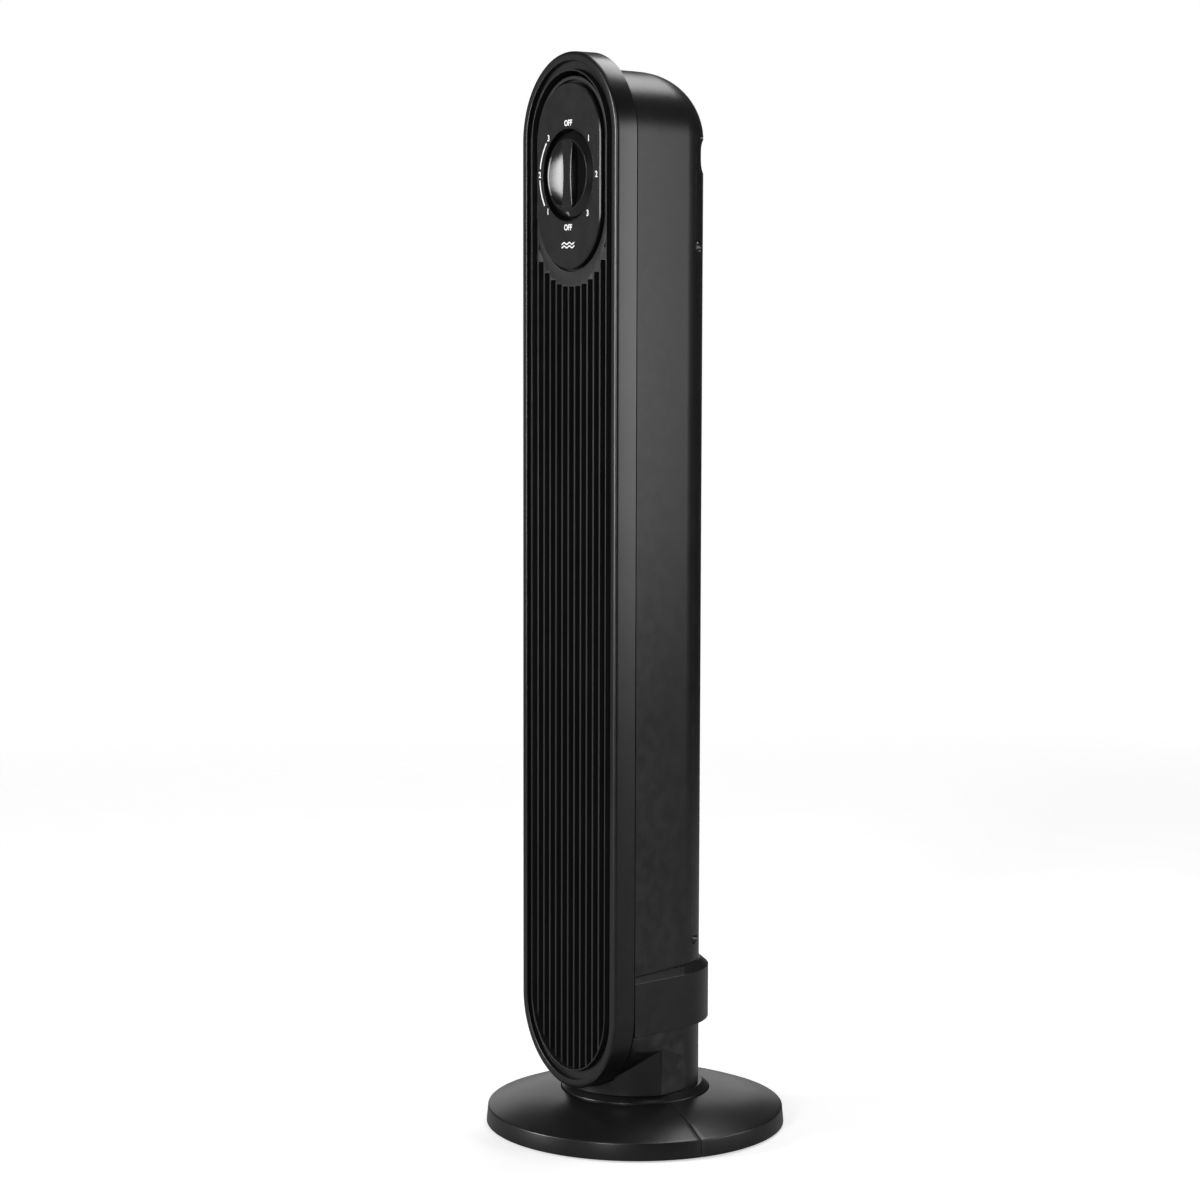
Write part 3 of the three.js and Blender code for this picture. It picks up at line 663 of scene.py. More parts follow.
class SheenDrift(Effect):
    """Roughness that varies with handling marks and grain."""

    name = "Sheen Drift"
    inputs = {"Smooth": ("Float", 0.35), "Rough": ("Float", 0.45), "Scale": ("Float", 22.0)}
    outputs = {"Roughness": "Float"}

    def wire(self, graph: Graph, given: bpy.types.NodeOutputs) -> dict[str, Socket]:
        """Wires broad marks and a fine break-up into one value.

        Args:
            graph: The group's graph.
            given: The group's inputs by name.

        Returns:
            The group's outputs by name.
        """
        broad = graph.noise(given["Scale"], 5.0)
        fine = graph.noise(900.0, 2.0, 0.55)
        both = graph.maths("ADD", graph.share(broad, 0.7), graph.share(fine, 0.3))
        return {"Roughness": graph.span(both, 0.35, 0.65, given["Smooth"], given["Rough"])}


class DrawnLines(Effect):
    """The fine lines that rolling or turning leaves on metal."""

    name = "Drawn Lines"
    inputs = {"Scale": ("Float", 400.0), "Depth": ("Float", 1.0)}
    outputs = {"Height": "Float", "Lines": "Float"}

    def wire(self, graph: Graph, given: bpy.types.NodeOutputs) -> dict[str, Socket]:
        """Wires noise that is drawn out across the width.

        Args:
            graph: The group's graph.
            given: The group's inputs by name.

        Returns:
            The group's outputs by name.
        """
        drawn = graph.add("Mapping", {"Vector": graph.place(), "Scale": (0.06, 0.06, 1.0)}).outputs["Vector"]
        lines = graph.noise(given["Scale"], 5.0, place=drawn)
        height = graph.maths("MULTIPLY", lines, given["Depth"])
        return {"Height": height, "Lines": graph.span(lines, 0.3, 0.7)}


@dataclass
class Effects:
    """Every shared effect, built once."""

    grain: MouldedGrain = field(default_factory=MouldedGrain)
    wear: EdgeWear = field(default_factory=EdgeWear)
    dust: SettledDust = field(default_factory=SettledDust)
    tone: ToneDrift = field(default_factory=ToneDrift)
    sheen: SheenDrift = field(default_factory=SheenDrift)
    lines: DrawnLines = field(default_factory=DrawnLines)


# ------------------------------------------------------------------ finishes
DUST_TONE: Colour = (0.20, 0.195, 0.185)


@dataclass(frozen=True)
class MouldedPlastic:
    """A moulded plastic or rubber: grain, rubbed edges, a little dust."""

    name: str
    dark: Colour
    light: Colour
    smooth: float
    rough: float
    grain: float = 1500.0
    depth: float = 1.0
    bump: float = 0.07
    wear: float = 0.3
    worn: Colour = (0.075, 0.075, 0.077)
    dust: float = 0.045
    index: float = 1.48
    coat: float = 0.0

    def make(self, effects: Effects) -> bpy.types.Material:
        """Builds the material.

        Args:
            effects: The shared effects.

        Returns:
            The material.
        """
        made, graph, shader = blank(self.name)
        tone = effects.tone.place(graph, Dark=(*self.dark, 1.0), Light=(*self.light, 1.0))["Colour"]
        grain = effects.grain.place(graph, Scale=self.grain, Depth=self.depth)
        wear = effects.wear.place(graph, Amount=self.wear)["Mask"]
        dust = effects.dust.place(graph, Amount=self.dust)["Mask"]
        rubbed = graph.mix(wear, tone, self.worn)
        link(graph, graph.mix(dust, rubbed, DUST_TONE), shader, "Base Color")
        sheen = effects.sheen.place(graph, Smooth=self.smooth, Rough=self.rough)["Roughness"]
        link(graph, graph.maths("ADD", sheen, graph.share(dust, 0.4)), shader, "Roughness")
        emboss(graph, shader, grain["Height"], self.bump, 0.00003)
        shader.inputs["IOR"].default_value = self.index
        shader.inputs["Coat Weight"].default_value = self.coat
        shader.inputs["Coat Roughness"].default_value = 0.12
        return made


@dataclass(frozen=True)
class WorkedMetal:
    """A plated or turned metal with drawn lines."""

    name: str
    dark: Colour
    light: Colour
    smooth: float
    rough: float
    lines: float = 500.0
    bump: float = 0.12

    def make(self, effects: Effects) -> bpy.types.Material:
        """Builds the material.

        Args:
            effects: The shared effects.

        Returns:
            The material.
        """
        made, graph, shader = blank(self.name)
        lines = effects.lines.place(graph, Scale=self.lines)
        tones = {"Dark": (*self.dark, 1.0), "Light": (*self.light, 1.0), "Scale": 60.0}
        tone = effects.tone.place(graph, **tones)["Colour"]
        dulled = graph.mix(graph.share(lines["Lines"], 0.35), tone, self.dark)
        link(graph, dulled, shader, "Base Color")
        sheen = effects.sheen.place(graph, Smooth=self.smooth, Rough=self.rough, Scale=80.0)["Roughness"]
        link(graph, sheen, shader, "Roughness")
        emboss(graph, shader, lines["Height"], self.bump, 0.00002)
        shader.inputs["Metallic"].default_value = 1.0
        return made


def blank(name: str) -> tuple[bpy.types.Material, Graph, bpy.types.Node]:
    """An empty material with its Principled shader wired to the output.

    Args:
        name: Name of the material.

    Returns:
        The material, its graph and the shader.
    """
    made = bpy.data.materials.new(name)
    made.use_nodes = True
    made.node_tree.nodes.clear()
    graph = Graph(made.node_tree)
    shader = graph.add("BsdfPrincipled")
    graph.add("OutputMaterial", {"Surface": shader.outputs["BSDF"]})
    return made, graph, shader


def link(graph: Graph, value: Socket, shader: bpy.types.Node, socket: str) -> None:
    """Feeds one socket of the shader."""
    graph.tree.links.new(value, shader.inputs[socket])


def emboss(
    graph: Graph, shader: bpy.types.Node, height: Socket, strength: float, depth: float
) -> None:
    """Feeds the shader's normal from a height.

    Args:
        graph: The material's graph.
        shader: Its shader.
        height: The height from 0 to 1.
        strength: How strongly it shows.
        depth: The height's full depth in metres.
    """
    bump = graph.add("Bump", {"Height": height, "Strength": strength, "Distance": depth})
    link(graph, bump.outputs["Normal"], shader, "Normal")


def grey(level: float, tint: float = 0.0) -> Colour:
    """A near-neutral tone whose blue is off by tint."""
    return level, level, level + tint


class Finish(Enum):
    """Every finish of the fan and its stage."""

    SHELL = MouldedPlastic("shell black", grey(0.0050, 0.0003), grey(0.0066, 0.0003), 0.285, 0.320)
    FACE = MouldedPlastic("face black", grey(0.0050, 0.0003), grey(0.0066, 0.0003), 0.280, 0.315)
    GRILLE = MouldedPlastic(
        "grille black", grey(0.009, 0.0003), grey(0.012, 0.0003), 0.40, 0.46, wear=0.6, index=1.40)
    PANEL = MouldedPlastic(
        "panel black", grey(0.006, 0.0003), grey(0.008, 0.0003), 0.24, 0.28,
        grain=2200.0, bump=0.025, wear=0.15)
    KNOB = MouldedPlastic(
        "knob black", grey(0.004, 0.0003), grey(0.006, 0.0003), 0.22, 0.27, bump=0.03, wear=0.1)
    INNER = MouldedPlastic("inner black", grey(0.004), grey(0.006), 0.5, 0.62, wear=0.1)
    RUBBER = MouldedPlastic(
        "rubber black", grey(0.010), grey(0.016, -0.0005), 0.75, 0.9, grain=900.0, bump=0.3)
    PRINT = MouldedPlastic(
        "print white", grey(0.90, -0.01), grey(0.96, -0.01), 0.45, 0.6,
        grain=3000.0, bump=0.05, wear=0.0, dust=0.0)
    MARK = MouldedPlastic("marker grey", grey(0.16), grey(0.22), 0.45, 0.6, wear=0.0, dust=0.0)
    ACETAL = MouldedPlastic("white acetal", (0.62, 0.61, 0.57), (0.72, 0.71, 0.67), 0.35, 0.5, wear=0.0)
    CREAM = MouldedPlastic("cream plastic", (0.52, 0.47, 0.36), (0.62, 0.57, 0.46), 0.45, 0.6, wear=0.0)
    STEEL = WorkedMetal("bright steel", (0.42, 0.43, 0.45), (0.60, 0.61, 0.63), 0.22, 0.36)
    ZINC = WorkedMetal("zinc steel", (0.32, 0.33, 0.35), (0.48, 0.49, 0.51), 0.34, 0.5)
    CASTING = WorkedMetal("motor metal", (0.22, 0.23, 0.24), (0.36, 0.37, 0.38), 0.4, 0.55, lines=260.0)
    BRONZE = WorkedMetal("bronze", (0.36, 0.21, 0.09), (0.50, 0.31, 0.14), 0.35, 0.5)
    FLOOR = MouldedPlastic(
        "floor", grey(0.80), grey(0.83), 0.6, 0.75, grain=300.0, bump=0.05, wear=0.0, dust=0.0)


class Paint:
    """Keeps one material for each finish that is used."""

    def __init__(self) -> None:
        """Builds the shared effects."""
        self.effects = Effects()
        self.made: dict[Finish, bpy.types.Material] = {}

    def coat(self, piece: Piece, finish: Finish) -> None:
        """Gives a piece its finish.

        Args:
            piece: The piece.
            finish: The finish it gets.
        """
        if finish not in self.made:
            self.made[finish] = finish.value.make(self.effects)
        piece.data.materials.clear()
        piece.data.materials.append(self.made[finish])


@dataclass
class Assembly:
    """A sub-assembly that dresses its pieces and hangs them on the frame."""

    paint: Paint

    def mount(
        self, piece: Piece, finish: Finish, slot: str, body: str, *nodes: str
    ) -> Piece:
        """Finishes a piece and lets it ride on a body.

        Args:
            piece: The piece.
            finish: Its finish.
            slot: The record's material slot it belongs to; not used.
            body: The body it moves with.
            nodes: The nodes it stands for.

        Returns:
            The piece.
        """
        self.paint.coat(piece, finish)
        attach(piece, body)
        if nodes:
            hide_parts(*nodes)
        log.info("%s rides on %s, %d points", piece.name, body, len(piece.data.vertices))
        return piece


# ------------------------------------------------------------------ base and swivel
@dataclass
class Base(Assembly):
    """The round base in two halves, with its feet."""

    radius: float = 114.4
    rim_radius: float = 113.2
    rim_top: float = 14.0
    low: float = 1.2
    turn: float = -9.3
    hole: float = 57.0
    high: float = 27.4
    swell: float = 2.4
    wall: float = 2.5
    half_gap: float = 0.2
    seam_chamfer: float = 0.35
    ledge: tuple[float, float, float] = (40.0, 13.2, 16.2)
    foot_ring: float = 101.0
    foot_radius: float = 6.5
    foot_height: float = 1.3
    foot_turns: tuple[int, ...] = (-150, -90, -30, 30, 90, 150)
    boss: tuple[float, float, float] = (7.5, 1.6, 14.0)
    rib_turns: tuple[int, ...] = (15, 45, 75, 105, 135, 165)
    rib_outline: tuple[Point, ...] = ((60.0, 3.5), (111.5, 3.5), (111.5, 13.0), (60.0, 24.0))
    rib_half: float = 0.9

    def dome(self, outer: float, inner: float, drop: float, steps: int = 20) -> list[Corner]:
        """Corners along the upper surface from the rim in to the swivel.

        Args:
            outer: Radius at the rim.
            inner: Radius at the hole.
            drop: How far below the outer surface the line runs.
            steps: Number of straight steps.

        Returns:
            Corners as (radius, z, rounding).
        """
        made = []
        for i in range(steps + 1):
            part = i / steps
            rise = self.rim_top + (self.high - self.rim_top) * part + self.swell * math.sin(math.pi * part)
            made.append((outer + (inner - outer) * part, rise - drop, 0.0))
        return made

    def profile(self) -> list[Point]:
        """The closed section of the shell as (radius, z).

        Returns:
            The points.
        """
        inner, ledge_low, ledge_high = self.ledge
        top = self.dome(self.rim_radius, self.hole, 0.0)
        under = self.dome(self.rim_radius - self.wall, self.hole + self.wall, self.wall)[::-1]
        top[0] = (*top[0][:2], 1.3)
        top[-1] = (*top[-1][:2], 0.6)
        return rounded([
            (self.radius, self.low, 0.5), *top, (self.hole, ledge_high, 0.2), (inner, ledge_high, 0.3),
            (inner, ledge_low, 0.3), (self.hole + self.wall, ledge_low, 0.3), *under,
            (self.radius - self.wall, self.low, 0.3),
        ], 4)

    def half(self, name: str, side: int) -> Piece:
        """One half of the base, with softened edges at the seam.

        Args:
            name: Name of the piece.
            side: 1 for the rear half, -1 for the front half.

        Returns:
            The piece.
        """
        profile = self.profile()
        middle = (sum(p[0] for p in profile) / len(profile), sum(p[1] for p in profile) / len(profile))
        rows = []
        steps = 96
        inside = [(i / steps, 1.0) for i in range(1, steps)]
        places = [(0.0, 0.0), (0.0, 1.0), *inside, (1.0, 1.0), (1.0, 0.0)]
        for part, full in places:
            row = []
            for radius, z in profile:
                gap = self.half_gap + (self.seam_chamfer if full else 0.0)
                shrink = 0.0 if full else self.seam_chamfer / math.hypot(radius - middle[0], z - middle[1])
                r, h = radius + (middle[0] - radius) * shrink, z + (middle[1] - z) * shrink
                start = math.asin(gap / r)
                turn = start + (math.pi - 2 * start) * part
                x, y = r * math.cos(turn), side * r * math.sin(turn)
                c, s = polar(1.0, self.turn)
                row.append((x * c - y * s, x * s + y * c, h))
            rows.append(row)
        return Draft().sweep(rows).build(name, 30.0)

    def bosses(self, side: int) -> Draft:
        """The foot bosses and stiffening ribs under one half.

        Args:
            side: Which side, -1 or 1.

        Returns:
            The draft.
        """
        solids = []
        for turn in self.foot_turns:
            if math.copysign(1, math.sin(math.radians(turn))) == side:
                radius, low, high = self.boss
                outline = rounded([
                    (0.0, low, 0.0), (radius, low, 0.5), (radius, high, 0.0), (0.0, high, 0.0),
                ])
                centre = polar(self.foot_ring, turn + self.turn)
                solids.append(turned([(max(r, 0.001), z) for r, z in outline], 32, centre))
        for turn in self.rib_turns:
            c, s = polar(1.0, side * turn + self.turn)
            half = self.rib_half
            rows = [[(r * c - w * s, r * s + w * c, z) for r, z in self.rib_outline] for w in (-half, half)]
            solids.append(Draft().sweep(rows))
        return gather(solids)

    def foot(self, number: int, turn: int) -> Piece:
        """One rubber foot with a ringed sole.

        Args:
            number: Its number.
            turn: Its direction in degrees.

        Returns:
            The piece.
        """
        r, h = self.foot_radius, self.foot_height
        sole = [(0.4, 0.0, 0), (2.2, 0.0, 0), (2.4, 0.35, 0), (3.0, 0.35, 0), (3.2, 0.0, 0), (4.6, 0.0, 0),
                (4.8, 0.35, 0), (5.4, 0.35, 0), (5.6, 0.0, 0), (r, 0.0, 0.35), (r, h, 0.2), (0.4, h, 0)]
        outline = [(0.0, 0.0), *rounded(sole), (0.0, h)]
        return turned(outline, 40, polar(self.foot_ring, turn + self.turn)).build(f"rubber_foot_{number}")

    def build(self) -> None:
        """Builds both halves and the feet."""
        for side, word in ((-1, "front"), (1, "rear")):
            half = self.half(f"base_{word}", side)
            half = combine(half, self.bosses(side).build("bosses"), Join.ADD, 30.0)
            self.mount(half, Finish.SHELL, "shell_black", "base", f"base_{word}_half")
        for number, turn in enumerate(self.foot_turns, 1):
            self.mount(self.foot(number, turn), Finish.RUBBER, "rubber_black", "base", f"foot_{number}")


@dataclass
class Swivel(Assembly):
    """The raised ring that the tower turns in."""

    radius: float = 56.4
    edge: float = 28.2
    top_radius: float = 51.3
    top: float = 32.4
    well: float = 38.5
    floor: float = 19.5
    low: float = 16.5
    bore: float = 8.6

    def build(self) -> None:
        """Builds the ring."""
        outline = rounded([
            (self.radius, self.low, 0.3), (self.radius, self.edge, 0.7), (self.top_radius, self.top, 0.7),
            (self.well, self.top, 0.5), (self.well, self.floor, 0.3), (self.bore, self.floor, 0.2),
            (self.bore, self.low, 0.2),
        ], 4)
        ring = turned(outline, 128).build("swivel_collar")
        self.mount(ring, Finish.SHELL, "shell_black", "base", "swivel_ring")


# ------------------------------------------------------------------ tower shells
@dataclass
class Shells(Assembly):
    """Neck, collar, rear housing, inlet grille, hand grip and what is fitted to them."""

    wall: float = 2.5
    gap: float = 0.3
    plan: ShellPlan = field(default_factory=lambda: ShellPlan(48.6, 61.6))
    top: float = 797.5
    crown: float = 50.0
    split: float = 105.3
    collar_low: float = 83.0
    collar_high: float = 129.0
    collar_bevel: float = 5.5
    spigot: float = 1.8
    neck_radius: float = 54.7
    neck_low: float = 33.4
    face: Stadium = field(default_factory=lambda: Stadium(98.8, 746.8, 64))
    inlet: tuple[float, float, float, float] = (133.0, 661.0, 52.0, 128.0)
    louvre_pitch: float = 6.5
    louvre_slot: float = 3.9
    grip: tuple[float, float] = (720.0, 751.0)
    grip_mouth: tuple[float, float] = (42.5, 52.0)
    grip_floor: tuple[float, float] = (38.5, 24.0)
    grip_rise: float = 3.5
    louvre_top: float = 641.0
    tube_x: float = 40.0
    tube_levels: tuple[float, float] = (146.0, 668.0)
    tube: tuple[float, float, float, float] = (3.1, 4.2, -38.0, 25.0)
    louvre_lean: float = 0.2
    louvre_reach: Point = (55.0, 41.0)
    louvre_bays: tuple[Point, ...] = ((56.0, 71.0), (73.0, 87.5), (92.5, 107.0), (109.0, 124.0))
    panel_recess: float = 0.9
    beyond: float = 60.0
    screw_x: float = 20.0
    screw_z: float = 94.0
    gland_z: float = 67.0

    def upright(self, low: float, high: float, inset: float, front: float) -> Draft:
        """A solid on the housing's plan between two heights."""
        plan = ShellPlan(self.plan.rear_radius, self.plan.side_x, front=front)
        return prism(plan.line(inset), low, high)

    def domed_rows(self, inset: float, front: float, steps: int = 20) -> list[list[Place]]:
        """Rows over the domed top, from its foot to the ridge line in the middle.

        Args:
            inset: How far the walls are moved in.
            front: Depth of the front edge.
            steps: Number of rows over the curve.

        Returns:
            Rows of points; the last row lies on the middle plane.
        """
        plan = ShellPlan(self.plan.rear_radius, self.plan.side_x, front=front)
        line, radius = plan.line(inset), self.crown - inset
        start, depth, half = self.top - self.crown, self.plan.rear_radius - inset - front, plan.front_x(inset)
        rows = []
        for i in range(steps + 1):
            run, rise = polar(radius, 90 * i / steps)
            drawn = radius - run
            wide, deep = 1 - drawn / half, 1 - drawn / depth
            rows.append([(x * wide, front + (y - front) * deep, start + rise) for x, y in line])
        rows.append([(0.0, y, z) for _, y, z in rows[-1]])
        return rows

    def skin_rows(self, inset: float, low: float, front: float) -> list[list[Place]]:
        """Rows of the housing's surface from a low edge to the ridge line."""
        plan = ShellPlan(self.plan.rear_radius, self.plan.side_x, front=front)
        return [[(x, y, low) for x, y in plan.line(inset)], *self.domed_rows(inset, front)]

    def housing_solid(self, inset: float, low: float, front: float) -> Draft:
        """The housing as a closed solid with its walls moved in by inset.

        Args:
            inset: How far inside the outer skin, in millimetres.
            low: The lowest height.
            front: The depth it starts at.

        Returns:
            The draft.
        """
        draft = Draft()
        numbers = draft.skin(self.skin_rows(inset, low, front))
        draft.cap(numbers[0])
        left = [row[-1] for row in numbers]
        draft.cap([row[0] for row in numbers] + left[::-1][1:])
        return draft

    def grip_solid(self, extra: float, corner: float = 0.0) -> Draft:
        """The tapered grip block, with rounded corners.

        Args:
            extra: How far it is grown on all sides.
            corner: Rounding of its corners.

        Returns:
            The draft.
        """
        (mouth, mouth_y), (floor, floor_y) = self.grip_mouth, self.grip_floor
        rows = []
        for y, half, inset in ((mouth_y, mouth, 0.0), (floor_y - extra, floor, self.grip_rise)):
            w, low, high = half + extra, self.grip[0] + inset - extra, self.grip[1] - inset + extra
            corners = [(w, low, corner), (w, high, corner), (-w, high, corner), (-w, low, corner)]
            rows.append([(x, y, z) for x, z in rounded(corners, 8)])
        return Draft().sweep(rows)

    def tube_places(self) -> list[Point]:
        """Where the long screws run, as (x, z)."""
        return [(side * self.tube_x, z) for z in self.tube_levels for side in (-1, 1)]

    def housing(self) -> Piece:
        """The rear housing with its inlet opening, grip opening and screw tubes.

        Returns:
            The piece.
        """
        above = self.collar_high + self.gap
        body = self.housing_solid(0.0, above, self.plan.front).build("rear_shell")
        weld(body, self.upright(self.split, above + 2, self.spigot, self.plan.front))
        cut(body, self.housing_solid(self.wall, above + 1.5, -60.0))
        cut(body, self.upright(100.0, above + 5, self.spigot + self.wall, -60.0))
        low, high, start, end = self.inlet
        outer = arc(70.0, start, end, 2)
        opening = prism([*outer, *arc(30.0, end, start, 2)], low, high)
        cut(body, opening)
        bore, skin, front, back = self.tube
        tube = [(bore, front), (skin, front), (skin, back), (bore, back)]
        weld(body, gather(turned_across(tube, z, x, 32) for x, z in self.tube_places()))
        bores = [prism_across(circle(bore, 64, at), front + 1, self.beyond) for at in self.tube_places()]
        cut(body, gather(bores))
        cut(body, self.grip_solid(self.gap))
        return soften(body, 0.35)

    def grip_cup(self) -> Piece:
        """The recessed hand grip, flush with the housing.

        Returns:
            The piece.
        """
        cup = self.grip_solid(0.0).build("hand_grip")
        trim(cup, self.housing_solid(0.05, 600.0, -60.0))
        cut(cup, self.grip_solid(-1.2, 9.0))
        low, high = self.grip[0] + 1.5, self.grip[1] - 1.5
        limit = self.grip_floor[0] * MM
        weight = cup.data.attributes.new("bevel_weight_edge", "FLOAT", "EDGE")
        for edge, mark in zip(cup.data.edges, weight.data):
            ends = [cup.data.vertices[n].co for n in edge.vertices]
            inside = all(abs(p.x) < limit and low * MM < p.z < high * MM for p in ends)
            mark.value = 1.0 if inside and edge.use_edge_sharp else 0.0
        soften(cup, 1.3, 5).modifiers[0].limit_method = "WEIGHT"
        return cup

    def inlet_panel(self) -> Piece:
        """The curved inlet grille, with rows of slots cut in four bays.

        Returns:
            The piece.
        """
        low, high, start, end = self.inlet
        low, high, start, end = low + 0.4, high - 0.4, start + 0.6, end - 0.6
        outer, inner = self.plan.rear_radius - self.panel_recess, self.plan.rear_radius - self.wall
        rim = [*arc(outer, start, end, 56), *arc(inner, end, start, 56)]
        panel = prism(rim, low, high).build("inlet_grille")
        count = int((self.louvre_top - low - 2) // self.louvre_pitch)
        first = low + 2.6
        slots = []
        for row in range(count):
            base = first + row * self.louvre_pitch
            for a, b in self.louvre_bays:
                flat = [*arc(self.louvre_reach[0], a, b, 3), *arc(self.louvre_reach[1], b, a, 3)]
                rows = [
                    [(x, y, z - self.louvre_lean * (math.hypot(x, y) - 47.0)) for x, y in flat]
                    for z in (base, base + self.louvre_slot)
                ]
                slots.append(Draft().sweep(rows))
        cut(panel, gather(slots))
        return soften(panel, 0.3, 1)

    def neck(self) -> Piece:
        """The round neck and the underside of the housing, which follows the ring of the face.

        Returns:
            The piece.
        """
        body = self.upright(self.neck_low, self.split - self.gap, 0.0, self.plan.front).build("neck")
        wide = Stadium(98.8, 746.8, 64)
        keep = prism_across([(x, z) for x, _, z in wide.ring(61.5, 0)], -60.0, 60.0)
        trim(body, keep)
        column = self.upright(self.neck_low, self.split - self.gap, 0.0, -60.0).build("column")
        trim(column, turned_post(self.neck_radius, 0.0, 200.0))
        under = prism_across([(x, z) for x, _, z in wide.ring(63.5, 0)], -80.0, self.plan.front)
        cut(column, under)
        combine(body, column, Join.ADD)
        hollow = self.upright(0.0, self.collar_low - self.wall, self.wall, -42.0).build("hollow")
        trim(hollow, turned_post(self.neck_radius - self.wall, -1.0, 120.0))
        combine(body, hollow, Join.CUT)
        cut(body, self.upright(self.collar_low - 3, 130.0, self.spigot + self.wall, -42.0))
        sleeve = self.upright(self.collar_low - self.gap, 120.0, -10.0, -90.0).build("sleeve")
        cut(sleeve, self.upright(0.0, 140.0, self.spigot, -90.5))
        combine(body, sleeve, Join.CUT)
        slits = []
        for turn in (54.0, 126.0):
            c, s = polar(1.0, turn)
            ends = [(47.4, -1.0), (56.0, -1.0), (56.0, 1.0), (47.4, 1.0)]
            slits.append(prism([(r * c - w * s, r * s + w * c) for r, w in ends], 59.0, 84.0))
        cut(body, gather(slits))
        holes = [prism_across(circle(6.5, 48, (0.0, self.gland_z)), 30.0, self.beyond)]
        for side in (-1, 1):
            at = (side * self.screw_x, self.screw_z)
            holes.append(prism_across(circle(1.8, 24, at), 30.0, self.beyond))
        cut(body, gather(holes))
        return soften(body, 0.4)

    def collar(self) -> Piece:
        """The band round the lower rear, with a bevelled top edge.

        Returns:
            The piece.
        """
        outer = ShellPlan(55.8, 61.5)
        top = ShellPlan(49.4, 61.5)
        inner = self.plan.line(self.spigot - self.gap)
        low, high = self.collar_low, self.collar_high
        corners = [
            (0.0, low, 0.5), (0.0, high - self.collar_bevel, 1.2), (1.0, high, 0.8),
            (3.0, high, 0.3), (3.0, low, 0.3),
        ]
        rows = []
        base_line, top_line = outer.line(0.0), top.line(0.0)
        for (ax, ay), (bx, by), (cx, cy) in zip(base_line, top_line, inner):
            row = []
            for u, z in rounded(corners, 4):
                if u <= 1.0:
                    row.append((ax + (bx - ax) * u, ay + (by - ay) * u, z))
                else:
                    t = (u - 1.0) / 2.0
                    row.append((bx + (cx - bx) * t, by + (cy - by) * t, z))
            rows.append(row)
        body = Draft().sweep(rows).build("rear_band")
        wells = []
        for side in (-1, 1):
            at = (side * self.screw_x, self.screw_z)
            for radius, start in ((3.7, 49.8), (1.8, 30.0)):
                wells.append(prism_across(circle(radius, 40, at), start, self.beyond))
        for well in wells:
            cut(body, well)
        return soften(body, 0.25)

    def collar_screw(self, number: int, side: int) -> Piece:
        """A pan-headed screw with a cross recess.

        Args:
            number: Its number.
            side: Which side, -1 or 1.

        Returns:
            The piece.
        """
        head = [
            (0.0, 38.5), (0.5, 38.0), (1.5, 39.0), (1.5, 50.1), (3.3, 50.1),
            (3.4, 50.4), (3.2, 51.2), (2.3, 51.7), (0.0, 51.8),
        ]
        screw = turned_across(head, self.screw_z, side * self.screw_x, 40).build(f"band_screw_{number}")
        x, z = side * self.screw_x, self.screw_z
        for half in ((2.0, 0.42), (0.42, 2.0)):
            tool = block((x - half[0], x + half[0]), (50.7, 53.0), (z - half[1], z + half[1])).build("tool")
            combine(screw, tool, Join.CUT)
        return soften(screw, 0.12)

    def gland(self) -> Piece:
        """The rubber gland in the neck, with a ribbed nose.

        Returns:
            The piece.
        """
        outline = rounded([
            (3.5, 43.0, 0.3), (6.2, 43.0, 0.3), (6.2, 49.0, 0.1), (8.4, 49.0, 0.3), (8.2, 49.9, 0.5),
            (6.0, 50.3, 0.3), (5.8, 50.9, 0.3), (3.5, 50.9, 0.4),
        ])
        return turned_across(outline, self.gland_z, 0.0, 48).build("rubber_gland")

    def build(self) -> None:
        """Builds every shell of the tower."""
        plastic = (Finish.SHELL, "shell_black", "tower")
        self.mount(self.neck(), *plastic, "neck_shell")
        self.mount(self.collar(), *plastic, "rear_collar")
        self.mount(self.housing(), *plastic, "rear_housing")
        self.mount(self.inlet_panel(), *plastic, "rear_grille")
        self.mount(self.grip_cup(), *plastic, "handle_cup")
        self.mount(self.gland(), Finish.RUBBER, "rubber_black", "tower", "cable_gland")
        for number, side in enumerate((-1, 1), 1):
            screw = self.collar_screw(number, side)
            self.mount(screw, Finish.ZINC, "zinc_steel", "tower", f"collar_screw_{number}")


def turned_post(radius: float, low: float, high: float, sides: int = 160) -> Draft:
    """A solid post about the vertical axis, used as a tool."""
    return prism(circle(radius, sides), low, high)


